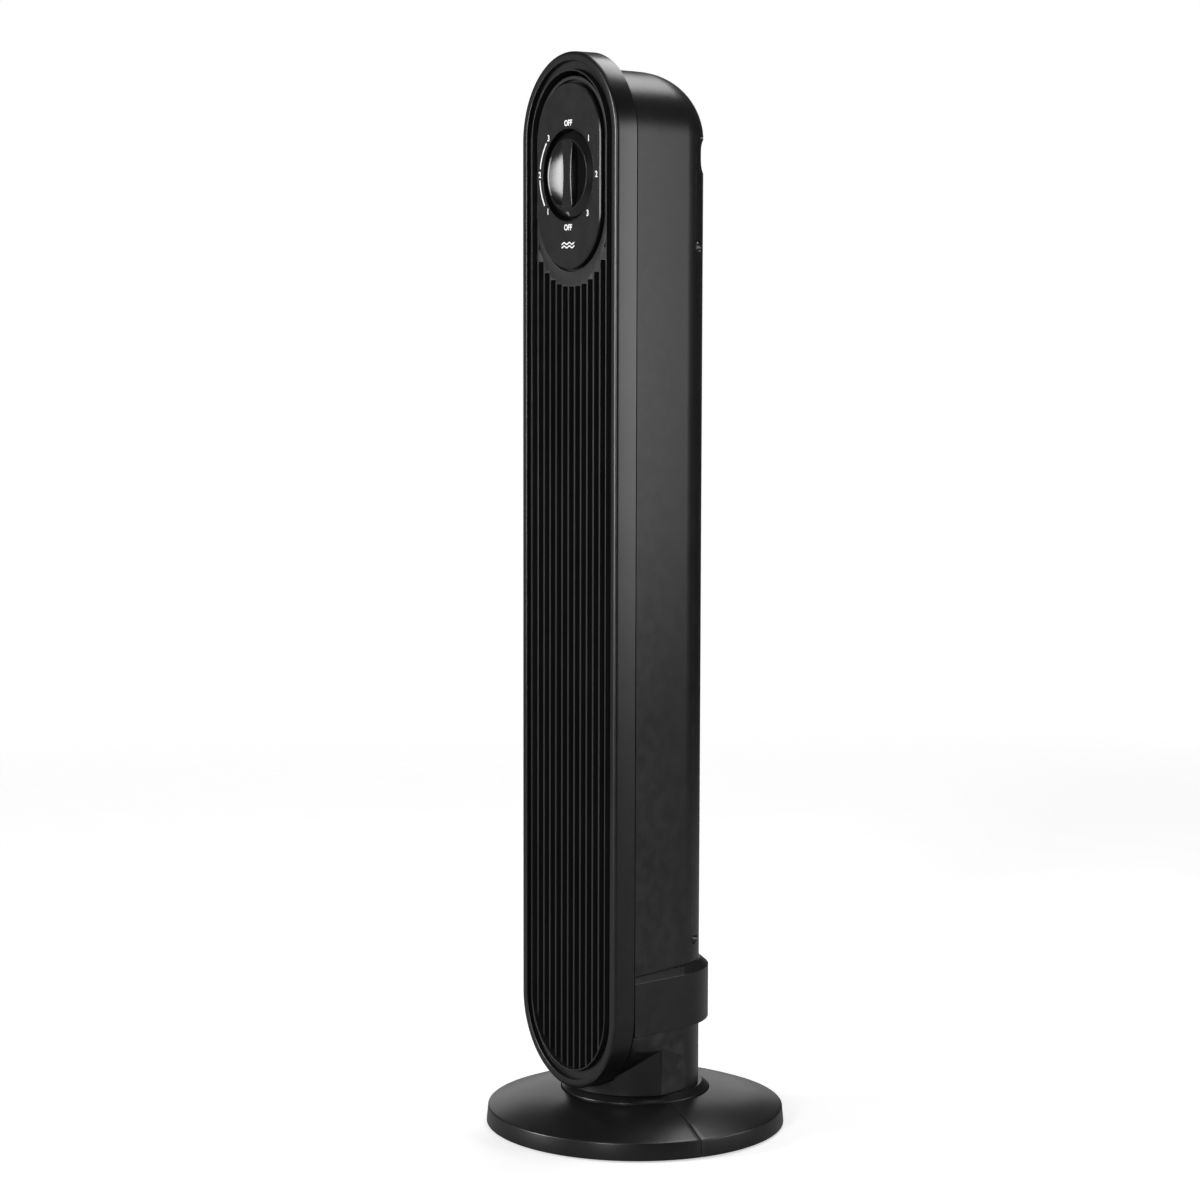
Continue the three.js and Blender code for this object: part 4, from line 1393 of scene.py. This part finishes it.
# ------------------------------------------------------------------ face
@dataclass
class Face(Assembly):
    """The deep ring round the face and the grille of upright fins inside it."""

    ring: Stadium = field(default_factory=lambda: Stadium(98.8, 746.8, 64))
    plate_ring: Stadium = field(default_factory=lambda: Stadium(685.8, 745.8, 64))
    panel_ring: Stadium = field(default_factory=lambda: Stadium(693.4, 745.8, 64))
    radius: float = 63.2
    front: float = -62.8
    back: float = -44.8
    rim_inner: float = 56.5
    groove: float = -59.0
    ridge_outer: float = 50.2
    ridge_inner: float = 49.0
    fin_front: float = -59.8
    fin_back: float = -50.0
    fin_count: int = 12
    fin_pitch: float = 8.28
    fin_width: float = 2.0
    plate_radius: float = 46.6
    plate_back: float = -57.6
    head_drop: float = 0.3
    head_rise: float = 9.0
    head_inset: float = 0.05
    opening: float = 43.8
    rib_levels: tuple[int, ...] = (215, 420, 625)
    bridge_levels: tuple[int, ...] = (660, 690, 720, 750)
    crown_centre: tuple[float, float] = (11.6, 747.5)
    crown_radius: float = 46.9
    back_radius: float = 58.5

    def back_reach(self, centre: float, turn: float) -> float:
        """How far from the ring's centre the opening in its back wall reaches.

        Args:
            centre: Height of the centre the ring turns about at this place.
            turn: Direction in degrees.

        Returns:
            The distance.
        """
        if centre < 400:
            return self.back_radius
        across, up = abs(polar(1.0, turn)[0]), polar(1.0, turn)[1]
        x, z = self.crown_centre[0], self.crown_centre[1] - centre
        flat = (z + self.crown_radius) / max(up, 1e-6)
        if flat * across <= x:
            return flat
        along = x * across + z * up
        return along + math.sqrt(along * along - x * x - z * z + self.crown_radius ** 2)

    def bezel(self) -> Piece:
        """The ring, with its rounded rim and the groove inside it.

        Returns:
            The piece.
        """
        rows = []
        for centre, turn in self.ring.stations():
            reach = self.back_reach(centre, turn)
            corners = [
                (self.radius, self.back, 0.4), (self.radius, self.front, 2.7),
                (self.rim_inner, self.front, 0.8),
                (self.rim_inner, self.groove, 0.25), (50.6, self.groove, 0.25), (50.6, -56.8, 0.2),
                (60.7, -56.8, 0.3), (60.7, -46.8, 0.3), (reach, -46.8, 0.2), (reach, self.back, 0.2),
            ]
            across, up = polar(1.0, turn)
            rows.append([(r * across, y, centre + r * up) for r, y in rounded(corners, 5)])
        return Draft().sweep(rows, along=True).build("face_ring", 32.0)

    def fin(self, x: float) -> Draft:
        """One upright fin, from the ridge's lower arc to the plate's.

        Args:
            x: Its place across.

        Returns:
            The draft.
        """
        half = self.fin_width / 2
        section = rounded([
            (x - half, self.fin_front, 0.35), (x + half, self.fin_front, 0.35),
            (x + half, self.fin_back, 0.5), (x - half, self.fin_back, 0.5),
        ], 3)
        low = [self.ring.low - math.sqrt(49.6 ** 2 - u * u) for u, _ in section]
        high = [self.plate_ring.low - math.sqrt(max(46.0 ** 2 - u * u, 0.0)) for u, _ in section]
        return Draft().sweep([[(u, y, z) for (u, y), z in zip(section, ends)] for ends in (low, high)])

    def slot_heads(self, places: Sequence[float]) -> Draft:
        """Square heads that close the slots under the plate, stepped from slot to slot.

        Args:
            places: Where the fins stand, from left to right.

        Returns:
            The draft.
        """
        heads = []
        for left, right in zip(places, places[1:]):
            nearest = 0.0 if left < 0 < right else min(abs(left), abs(right))
            edge = self.plate_ring.low - math.sqrt(self.plate_radius ** 2 - nearest ** 2)
            depth = (self.fin_front + self.head_inset, self.plate_back - self.head_inset)
            heads.append(block((left, right), depth, (edge - self.head_drop, edge + self.head_rise)))
        return gather(heads)

    def grille(self) -> Piece:
        """Ridge, fins, cross ribs and the plate round the control panel, as one moulding.

        Returns:
            The piece.
        """
        ridge = rounded([
            (self.ridge_inner, self.front, 0.45), (self.ridge_outer, self.front, 0.45),
            (self.ridge_outer, -56.5, 0.1), (54.8, -56.5, 0.2),
            (54.8, -54.5, 0.2), (self.ridge_outer, -54.5, 0.1),
            (self.ridge_outer, self.fin_back, 0.3), (self.ridge_inner, self.fin_back, 0.3),
        ], 4)
        body = Draft().sweep(self.ring.rows(ridge), along=True).build("air_grille", 32.0)
        places = [(i - (self.fin_count - 1) / 2) * self.fin_pitch for i in range(self.fin_count)]
        weld(body, gather(self.fin(x) for x in places))
        plate = rounded([
            (self.plate_radius, self.plate_back, 0.2), (self.plate_radius, self.fin_front, 0.5),
            (self.opening, self.fin_front, 0.3), (self.opening, self.plate_back, 0.2),
        ], 3)
        weld(body, Draft().sweep(self.plate_rows(plate), along=True))
        weld(body, self.slot_heads(places))
        ribs = gather(
            block((-49.4, 49.4), (-51.2, -48.4), (z, z + 1.6)) for z in self.rib_levels
        )
        weld(body, ribs)
        bridges = gather(
            block(tuple(sorted((side * 45.8, side * 49.6))), (-58.9, -57.7), (z, z + 3.0))
            for z in self.bridge_levels for side in (-1, 1)
        )
        weld(body, bridges)
        return body

    def plate_rows(self, profile: Sequence[Point]) -> list[list[Place]]:
        """Rows round the plate; its outer edge ends lower than its opening does.

        Args:
            profile: Section points as (radius, y).

        Returns:
            One row of points for each place round the plate.
        """
        rows = []
        middle = (self.plate_radius + self.opening) / 2
        for (outer, turn), (inner, _) in zip(self.plate_ring.stations(), self.panel_ring.stations()):
            across, up = polar(1.0, turn)
            rows.append([
                (r * across, y, (outer if r > middle else inner) + r * up) for r, y in profile
            ])
        return rows

    def build(self) -> None:
        """Builds the ring and the grille."""
        self.mount(self.bezel(), Finish.FACE, "shell_black", "tower", "front_bezel")
        self.mount(self.grille(), Finish.GRILLE, "shell_black", "tower", "front_grille")


# ------------------------------------------------------------------ controls
@dataclass(frozen=True)
class Label:
    """One printed word or digit."""

    name: str
    text: str
    x: float
    z: float
    size: float


@dataclass
class Controls(Assembly):
    """The oval control panel with its printed scale."""

    ring: Stadium = field(default_factory=lambda: Stadium(693.4, 745.8, 64))
    radius: float = 41.8
    front: float = -62.8
    edge_bevel: float = 0.8
    flange_front: float = -57.3
    back: float = -55.5
    dial_z: float = 720.2
    well: float = 33.8
    well_floor: float = -54.0
    flange: float = 45.2
    cup: float = 35.6
    cup_span: Point = (-57.0, -52.0)
    bore: float = 3.6
    wave_z: float = 669.0
    wave_gap: float = 1.25
    wave_swing: float = 0.7
    wave_half: float = 0.5
    wave_reach: float = 8.5
    lip_width: float = 1.1
    lip_rise: float = 0.3
    ink: float = 0.06
    labels: tuple[Label, ...] = (
        Label("word_top", "OFF", 0.0, 758.3, 4.4),
        Label("word_bottom", "OFF", 0.0, 682.2, 4.4),
        Label("right_1", "1", 26.9, 746.0, 4.6),
        Label("right_2", "2", 37.2, 719.6, 4.6),
        Label("right_3", "3", 25.8, 692.0, 4.6),
        Label("left_3", "3", -26.4, 748.5, 4.6),
        Label("left_2", "2", -38.2, 722.0, 4.6),
        Label("left_1", "1", -27.2, 694.5, 4.6),
    )
    sweep_arcs: tuple[tuple[float, float], ...] = ((140.0, 171.0), (183.5, 214.0))

    def panel(self) -> Piece:
        """The panel with its rounded front edge and knob well.

        Returns:
            The piece.
        """
        outer, inner = self.radius, self.radius - self.edge_bevel
        edge = [(outer, self.back), (outer, self.front + self.edge_bevel), (inner, self.front)]
        rows = [self.ring.ring(r, y) for r, y in edge]
        body = Draft().sweep(rows).build("scale_panel", 30.0)
        flange = Draft().sweep([self.ring.ring(self.flange, y) for y in (self.flange_front, self.back)])
        weld(body, flange, 30.0)
        at = (0.0, self.dial_z)
        weld(body, prism_across(circle(self.cup, 120, at), *self.cup_span), 30.0)
        cut(body, prism_across(circle(self.well, 144, at), -80.0, self.well_floor), 30.0)
        cut(body, prism_across(circle(self.bore, 24, at), -80.0, -40.0), 30.0)
        return body

    def lip(self) -> Piece:
        """The raised lip round the knob's well.

        Returns:
            The piece.
        """
        proud = self.front - self.lip_rise
        outline = rounded([
            (self.well + 0.02, self.front + 1.2, 0.1), (self.well + 0.02, proud, 0.14),
            (self.well + self.lip_width, proud, 0.14), (self.well + self.lip_width, self.front + 1.2, 0.1),
        ], 3)
        return turned_across(outline, self.dial_z, 0.0, 144).build("well_lip", 40.0)

    def printed(self, label: Label) -> Piece:
        """One printed label as a thin solid.

        Args:
            label: What is printed, and where.

        Returns:
            The piece.
        """
        curve = bpy.data.curves.new(label.name, "FONT")
        curve.body = label.text
        curve.size = label.size * 1.36 * MM
        curve.align_x = "CENTER"
        curve.extrude = self.ink / 2 * MM
        curve.offset = 0.17 * MM
        curve.resolution_u = 4
        holder = bpy.data.objects.new("ink", curve)
        bpy.context.scene.collection.objects.link(holder)
        graph = bpy.context.evaluated_depsgraph_get()
        mesh = bpy.data.meshes.new_from_object(holder.evaluated_get(graph))
        bpy.data.objects.remove(holder)
        turn = Matrix.Rotation(math.pi / 2, 4, "X")
        drop = label.size / 2
        place = Matrix.Translation(Vector((label.x, self.front - self.ink / 2, label.z - drop)) * MM)
        mesh.transform(place @ turn)
        heal(mesh, 30.0)
        made = bpy.data.objects.new("print_" + label.name, mesh)
        bpy.context.scene.collection.objects.link(made)
        return made

    def arc_line(self, number: int, start: float, end: float) -> Piece:
        """A printed arc beside the left-hand digits.

        Args:
            number: Its number.
            start: Where it starts, in degrees.
            end: Where it ends, in degrees.

        Returns:
            The piece.
        """
        outer, inner = arc(38.8, start, end, 24), arc(37.5, end, start, 24)
        outline = [(x, self.dial_z + z) for x, z in outer + inner]
        return prism_across(outline, self.front - self.ink, self.front).build(f"print_arc_{number}")

    def wave_mark(self) -> Piece:
        """Two short air waves, printed under the scale.

        Returns:
            The piece.
        """
        drafts = []
        steps, reach = 34, self.wave_reach
        across = [2 * reach * i / steps - reach for i in range(steps + 1)]
        for level in (-self.wave_gap, self.wave_gap):
            middle = [(x, self.wave_z + level + self.wave_swing * math.sin(x * 0.9)) for x in across]
            outline = [(x, z + self.wave_half) for x, z in middle]
            outline += [(x, z - self.wave_half) for x, z in middle[::-1]]
            drafts.append(prism_across(outline, self.front - self.ink, self.front))
        return gather(drafts).build("print_waves")

    def build(self) -> None:
        """Builds the panel and its print."""
        self.mount(self.panel(), Finish.PANEL, "panel_black", "tower", "control_panel")
        self.mount(self.lip(), Finish.PANEL, "panel_black", "tower")
        prints = [self.printed(label) for label in self.labels]
        prints += [self.arc_line(i, *ends) for i, ends in enumerate(self.sweep_arcs, 1)]
        prints.append(self.wave_mark())
        for piece in prints:
            self.mount(piece, Finish.PRINT, "panel_black", "tower")


@dataclass
class Knob(Assembly):
    """The selector knob: a waisted grip blade between two dished scoops."""

    z: float = 720.2
    front: float = -64.1
    crown: float = 26.3
    outer: float = 31.3
    shoulder: float = 3.5
    back: float = -54.5
    rim: float = 25.3
    blade: float = 5.0
    chamfer: float = 0.55
    blade_end: float = 7.8
    depth: float = 5.8
    draft_angle: float = 0.5
    lengthwise: int = 48
    across: int = 18

    def blade_half(self, z: float) -> float:
        """Half width of the blade at a distance from the middle."""
        return self.blade + (self.blade_end - self.blade) * (z / self.crown) ** 2

    @staticmethod
    def swell(t: float) -> float:
        """How deep a scoop is along its length, from 0 at its ends to 1 in the middle."""
        return max(1 - t * t, 0.0) ** 0.45

    def corner_z(self) -> float:
        """Where the blade's edge meets the scoops' rim.

        Returns:
            The height in millimetres.
        """
        low, high = 0.0, self.rim
        for _ in range(40):
            middle = (low + high) / 2
            inside = math.hypot(self.blade_half(middle), middle) < self.rim
            low, high = (middle, high) if inside else (low, middle)
        return low

    def scoop(self, draft: Draft, side: int) -> None:
        """One dished scoop with the blade's wall beside it.

        Args:
            draft: The draft the faces are added to.
            side: Which side, -1 or 1.
        """
        end = self.corner_z()
        walls, floors = [], []
        for i in range(self.lengthwise + 1):
            t = math.sin(math.pi / 2 * (2 * i / self.lengthwise - 1))
            z = end * t
            edge, rim = self.blade_half(z), math.sqrt(self.rim ** 2 - z * z)
            swell = self.swell(t)
            deep, soft = self.depth * swell, self.chamfer * swell
            foot = min(edge + self.draft_angle, rim)
            walls.append([
                (side * (edge - soft), self.front, self.z + z), (side * edge, self.front + soft, self.z + z),
                (side * foot, self.front + deep, self.z + z),
            ])
            floor = []
            for k in range(self.across + 1):
                s = k / self.across
                x = foot + (rim - foot) * s
                floor.append((side * x, self.front + deep * (1 - s ** 1.5), self.z + z))
            floors.append(floor)
        draft.skin(walls)
        draft.skin(floors)

    def face(self, draft: Draft) -> None:
        """The blade's flat front, the rim round the scoops, the shoulder and the back.

        Args:
            draft: The draft the faces are added to.
        """
        end = self.corner_z()
        turns = [math.sin(math.pi / 2 * (2 * i / self.lengthwise - 1)) for i in range(self.lengthwise + 1)]
        levels = [end * t for t in turns]
        strip = []
        for t, z in zip(turns, levels):
            half = self.blade_half(z) - self.chamfer * self.swell(t)
            strip.append([(-half, self.front, self.z + z), (half, self.front, self.z + z)])
        draft.skin(strip)
        half = self.blade_half(end)
        tip = math.degrees(math.atan2(end, half))
        ends = [polar(1.0, a) for _, a in self.tip_turns(tip)]
        right = [(math.sqrt(self.rim ** 2 - z * z) / self.rim, z / self.rim) for z in levels]
        left = [(-x, z) for x, z in right[::-1]]
        loop = right[:-1] + ends[:-1] + left[:-1] + [(-x, -z) for x, z in ends[:-1]]
        rim = rounded([
            (self.rim, self.front, 0.0), (self.crown, self.front, 0.35),
            (self.outer, self.front + self.shoulder, 0.5), (self.outer, self.back, 0.3),
            (3.3, self.back, 0.0), (3.3, -60.0, 0.0),
        ], 3)
        rows = [[(r * x, y, self.z + r * z) for x, z in loop] for r, y in rim]
        numbers = draft.skin(rows, across=True)
        draft.cap(numbers[-1])
        for sign in (-1, 1):
            outline = [(self.rim * x, self.front, self.z + sign * self.rim * z) for x, z in ends]
            draft.cap(draft.row(outline))

    @staticmethod
    def tip_turns(tip: float, steps: int = 10) -> list[tuple[int, float]]:
        """Directions across one end of the blade."""
        return [(i, tip + (180 - 2 * tip) * i / steps) for i in range(steps + 1)]

    def marker(self) -> Piece:
        """A small grey pointer inlaid in the lower end of the blade.

        Returns:
            The piece.
        """
        lift, slope = 0.05, self.shoulder / (self.outer - self.crown)
        corners = [(-2.1, 26.9), (2.1, 26.9), (0.3, 30.2), (-0.3, 30.2)]
        rows = []
        for out in (lift, -0.3):
            rows.append([(x, self.front + (r - self.crown) * slope - out, self.z - r) for x, r in corners])
        return Draft().sweep(rows).build("knob_pointer")

    def build(self) -> None:
        """Builds the knob and its pointer."""
        draft = Draft()
        for side in (-1, 1):
            self.scoop(draft, side)
        self.face(draft)
        knob = soften(draft.build("selector_knob", 30.0), 0.5, 1, 40.0)
        self.mount(knob, Finish.KNOB, "knob_black", "knob", "knob")
        self.mount(self.marker(), Finish.MARK, "knob_black", "knob")


# ------------------------------------------------------------------ inside
@dataclass
class Wheel(Assembly):
    """The cross-flow wheel with curved blades between its discs."""

    outer: float = 36.5
    inner: float = 29.0
    low: float = 204.0
    high: float = 630.0
    blades: int = 30
    discs: int = 7
    disc_radius: float = 37.0
    disc_height: float = 2.0
    thickness: float = 0.9

    def blade(self, number: int) -> Draft:
        """One curved blade over the wheel's full length.

        Args:
            number: Its number.

        Returns:
            The draft.
        """
        line = []
        for i in range(7):
            t = i / 6
            turn = 360 * number / self.blades + 16 * t * t
            line.append((self.inner + (self.outer - self.inner) * t, turn))
        front = [polar(r, a) for r, a in line]
        back = [polar(r, a + math.degrees(self.thickness / r)) for r, a in line[::-1]]
        return prism(front + back, self.low + 0.5, self.high - 0.5)

    def build(self) -> None:
        """Builds the wheel."""
        step = (self.high - self.low - self.disc_height) / (self.discs - 1)
        discs = []
        for i in range(self.discs):
            low = self.low + i * step
            ends = i in (0, self.discs - 1)
            bore = 6.0 if ends else 24.0
            rim, high = self.disc_radius, low + self.disc_height
            outline = rounded([(bore, low, 0.2), (rim, low, 0.4), (rim, high, 0.4), (bore, high, 0.2)])
            discs.append(turned(outline, 72))
        body = gather(discs).build("wheel")
        weld(body, gather(self.blade(i) for i in range(self.blades)))
        hubs = gather([
            turned(rounded([(4.2, 200.2, 0.2), (9.0, 200.2, 0.6), (9.0, 222.0, 1.0), (4.2, 222.0, 0.2)]), 32),
            turned(rounded([(3.3, 626.0, 0.2), (8.0, 626.0, 0.6), (8.0, 640.0, 0.8), (3.3, 640.0, 0.2)]), 32),
        ])
        weld(body, hubs)
        self.mount(body, Finish.INNER, "inner_black", "impeller", "impeller")


INNER_FINISHES: dict[Finish, tuple[str, ...]] = {
    Finish.ACETAL: ("gear_sector", "thrust_ring", "swing_pinion"),
    Finish.ZINC: (
        "retaining_plate", "spindle_nut", "swing_motor", "motor_bracket", "switch_shaft", "base_screw_",
        "housing_screw_",
    ),
    Finish.STEEL: ("motor_shaft", "bearing_pin"),
    Finish.CASTING: ("fan_motor",),
    Finish.BRONZE: ("bearing_bush",),
    Finish.CREAM: ("capacitor", "terminal_block"),
    Finish.RUBBER: ("motor_damper_",),
    Finish.INNER: ("turntable", "switch_body", "duct_", "air_", "bearing_holder", "motor_cover"),
}


@dataclass
class Internals(Assembly):
    """The parts inside, which keep their modelled shape and get worked finishes."""

    def build(self) -> None:
        """Finishes every inner part that is still shown."""
        for name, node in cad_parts.items():
            if node.hide_render:
                continue
            for finish, starts in INNER_FINISHES.items():
                if name.startswith(starts):
                    self.paint.coat(node, finish)
                    log.info("%s finished as %s", name, finish.value.name)


# ------------------------------------------------------------------ studio
@dataclass(frozen=True)
class Softbox:
    """A rectangular soft light."""

    name: str
    place: Place
    aim: Place
    width: float
    height: float
    power: float


@dataclass
class Studio:
    """Floor, soft lights and camera, in metres."""

    paint: Paint
    eye: Place = (1.757777, -1.222324, 0.609439)
    forward: Place = (-0.824546, 0.557588, -0.096019)
    right: Place = (0.560176, 0.828373, 0.0)
    roll: float = 0.13
    lens: float = 85.08
    ambient: float = 0.035
    floor_glow: float = 0.5
    floor_dim: float = 0.40
    floor_fade: Point = (0.7, 2.2)
    floor_rings: tuple[float, ...] = (0.001, 300.0, 1200.0, 6000.0, 20000.0)
    backdrop: float = 1.0
    softboxes: tuple[Softbox, ...] = (
        Softbox("side", (1.82, 1.52, 0.80), (0.0, 0.0, 0.8), 1.8, 1.2, 29.5),
        Softbox("back", (-2.29, 1.32, 0.70), (0.0, 0.0, 0.4), 1.8, 1.2, 5.8),
        Softbox("high", (-0.385, 0.857, 2.07), (0.0, 0.0, 0.8), 0.88, 0.86, 12.5),
        Softbox("front", (-1.01, -2.50, 0.85), (0.0, 0.0, 0.7), 0.7, 1.3, 64.0),
        Softbox("fill", (-2.30, -1.57, 0.70), (0.0, 0.0, 0.7), 1.6, 1.4, 1.2),
        Softbox("lean", (1.5, -2.3, 1.0), (0.0, 0.0, 0.7), 0.4, 1.4, 30.0),
        Softbox("top", (0.0, 0.0, 3.0), (0.0, 0.0, 0.0), 2.0, 2.0, 10.0),
    )

    def floor(self) -> None:
        """A pale floor that fades into the backdrop."""
        draft = Draft()
        rows = [[(x, y, 0.0) for x, y in circle(radius, 120)] for radius in self.floor_rings]
        draft.skin(rows, across=True)
        floor = draft.build("floor")
        self.paint.coat(floor, Finish.FLOOR)
        graph = Graph(floor.data.materials[0].node_tree)
        nodes = graph.tree.nodes
        shader = next(n for n in nodes if n.type == "BSDF_PRINCIPLED")
        leave = next(n for n in nodes if n.type == "OUTPUT_MATERIAL")
        place = graph.add("TexCoord").outputs["Object"]
        reach = graph.add("VectorMath", {0: place}, operation="LENGTH").outputs["Value"]
        glow = graph.add("Emission", {"Strength": self.floor_glow}).outputs["Emission"]
        lit = graph.add("AddShader", {0: shader.outputs["BSDF"], 1: glow}).outputs["Shader"]
        dim = graph.add("BsdfDiffuse", {"Color": (*[self.floor_dim] * 3, 1.0)}).outputs["BSDF"]
        seen = graph.add("LightPath").outputs["Is Camera Ray"]
        both = graph.add("MixShader", {0: seen, 1: dim, 2: lit}).outputs["Shader"]
        clear = graph.add("BsdfTransparent").outputs["BSDF"]
        fade = graph.span(reach, *self.floor_fade)
        faded = graph.add("MixShader", {0: fade, 1: both, 2: clear}).outputs["Shader"]
        graph.tree.links.new(faded, leave.inputs["Surface"])

    def world(self) -> None:
        """A white backdrop whose light on the object is softer than it looks."""
        world = bpy.data.worlds.new("studio air")
        bpy.context.scene.world = world
        world.use_nodes = True
        world.node_tree.nodes.clear()
        graph = Graph(world.node_tree)
        seen = graph.add("LightPath").outputs["Is Camera Ray"]
        level = graph.span(seen, 0.0, 1.0, self.ambient, self.backdrop)
        air = graph.add("Background", {"Color": (1.0, 1.0, 1.0, 1.0), "Strength": level})
        graph.add("OutputWorld", {"Surface": air.outputs["Background"]})

    def light(self, box: Softbox) -> None:
        """Hangs one softbox.

        Args:
            box: The softbox.
        """
        lamp = bpy.data.lights.new(box.name, "AREA")
        lamp.shape = "RECTANGLE"
        lamp.size, lamp.size_y, lamp.energy = box.width, box.height, box.power
        made = bpy.data.objects.new(box.name, lamp)
        made.location = box.place
        aim = Vector(box.aim) - Vector(box.place)
        made.rotation_euler = aim.to_track_quat("-Z", "Y").to_euler()
        made.visible_camera = False
        bpy.context.scene.collection.objects.link(made)

    def camera(self) -> None:
        """Places the camera."""
        data = bpy.data.cameras.new("camera")
        data.lens = self.lens
        data.sensor_width = 36.0
        data.clip_start, data.clip_end = 0.05, 60.0
        forward, right = Vector(self.forward).normalized(), Vector(self.right).normalized()
        up = right.cross(forward)
        turn = math.radians(self.roll)
        across = right * math.cos(turn) + up * math.sin(turn)
        upward = up * math.cos(turn) - right * math.sin(turn)
        made = bpy.data.objects.new("camera", data)
        made.matrix_world = Matrix((across, upward, -forward)).transposed().to_4x4()
        made.location = self.eye
        bpy.context.scene.collection.objects.link(made)
        bpy.context.scene.camera = made

    def build(self) -> None:
        """Sets the stage."""
        self.floor()
        self.world()
        for box in self.softboxes:
            self.light(box)
        self.camera()
        bpy.context.scene.view_settings.view_transform = "Standard"
        log.info("studio is set with %d softboxes", len(self.softboxes))


def main() -> None:
    """Builds the fan and its studio."""
    logging.basicConfig(level=logging.INFO, format="%(message)s")
    paint = Paint()
    for kind in (Base, Swivel, Shells, Face, Controls, Knob, Wheel, Internals):
        kind(paint).build()
    Studio(paint).build()


if __name__ == "__main__":
    main()
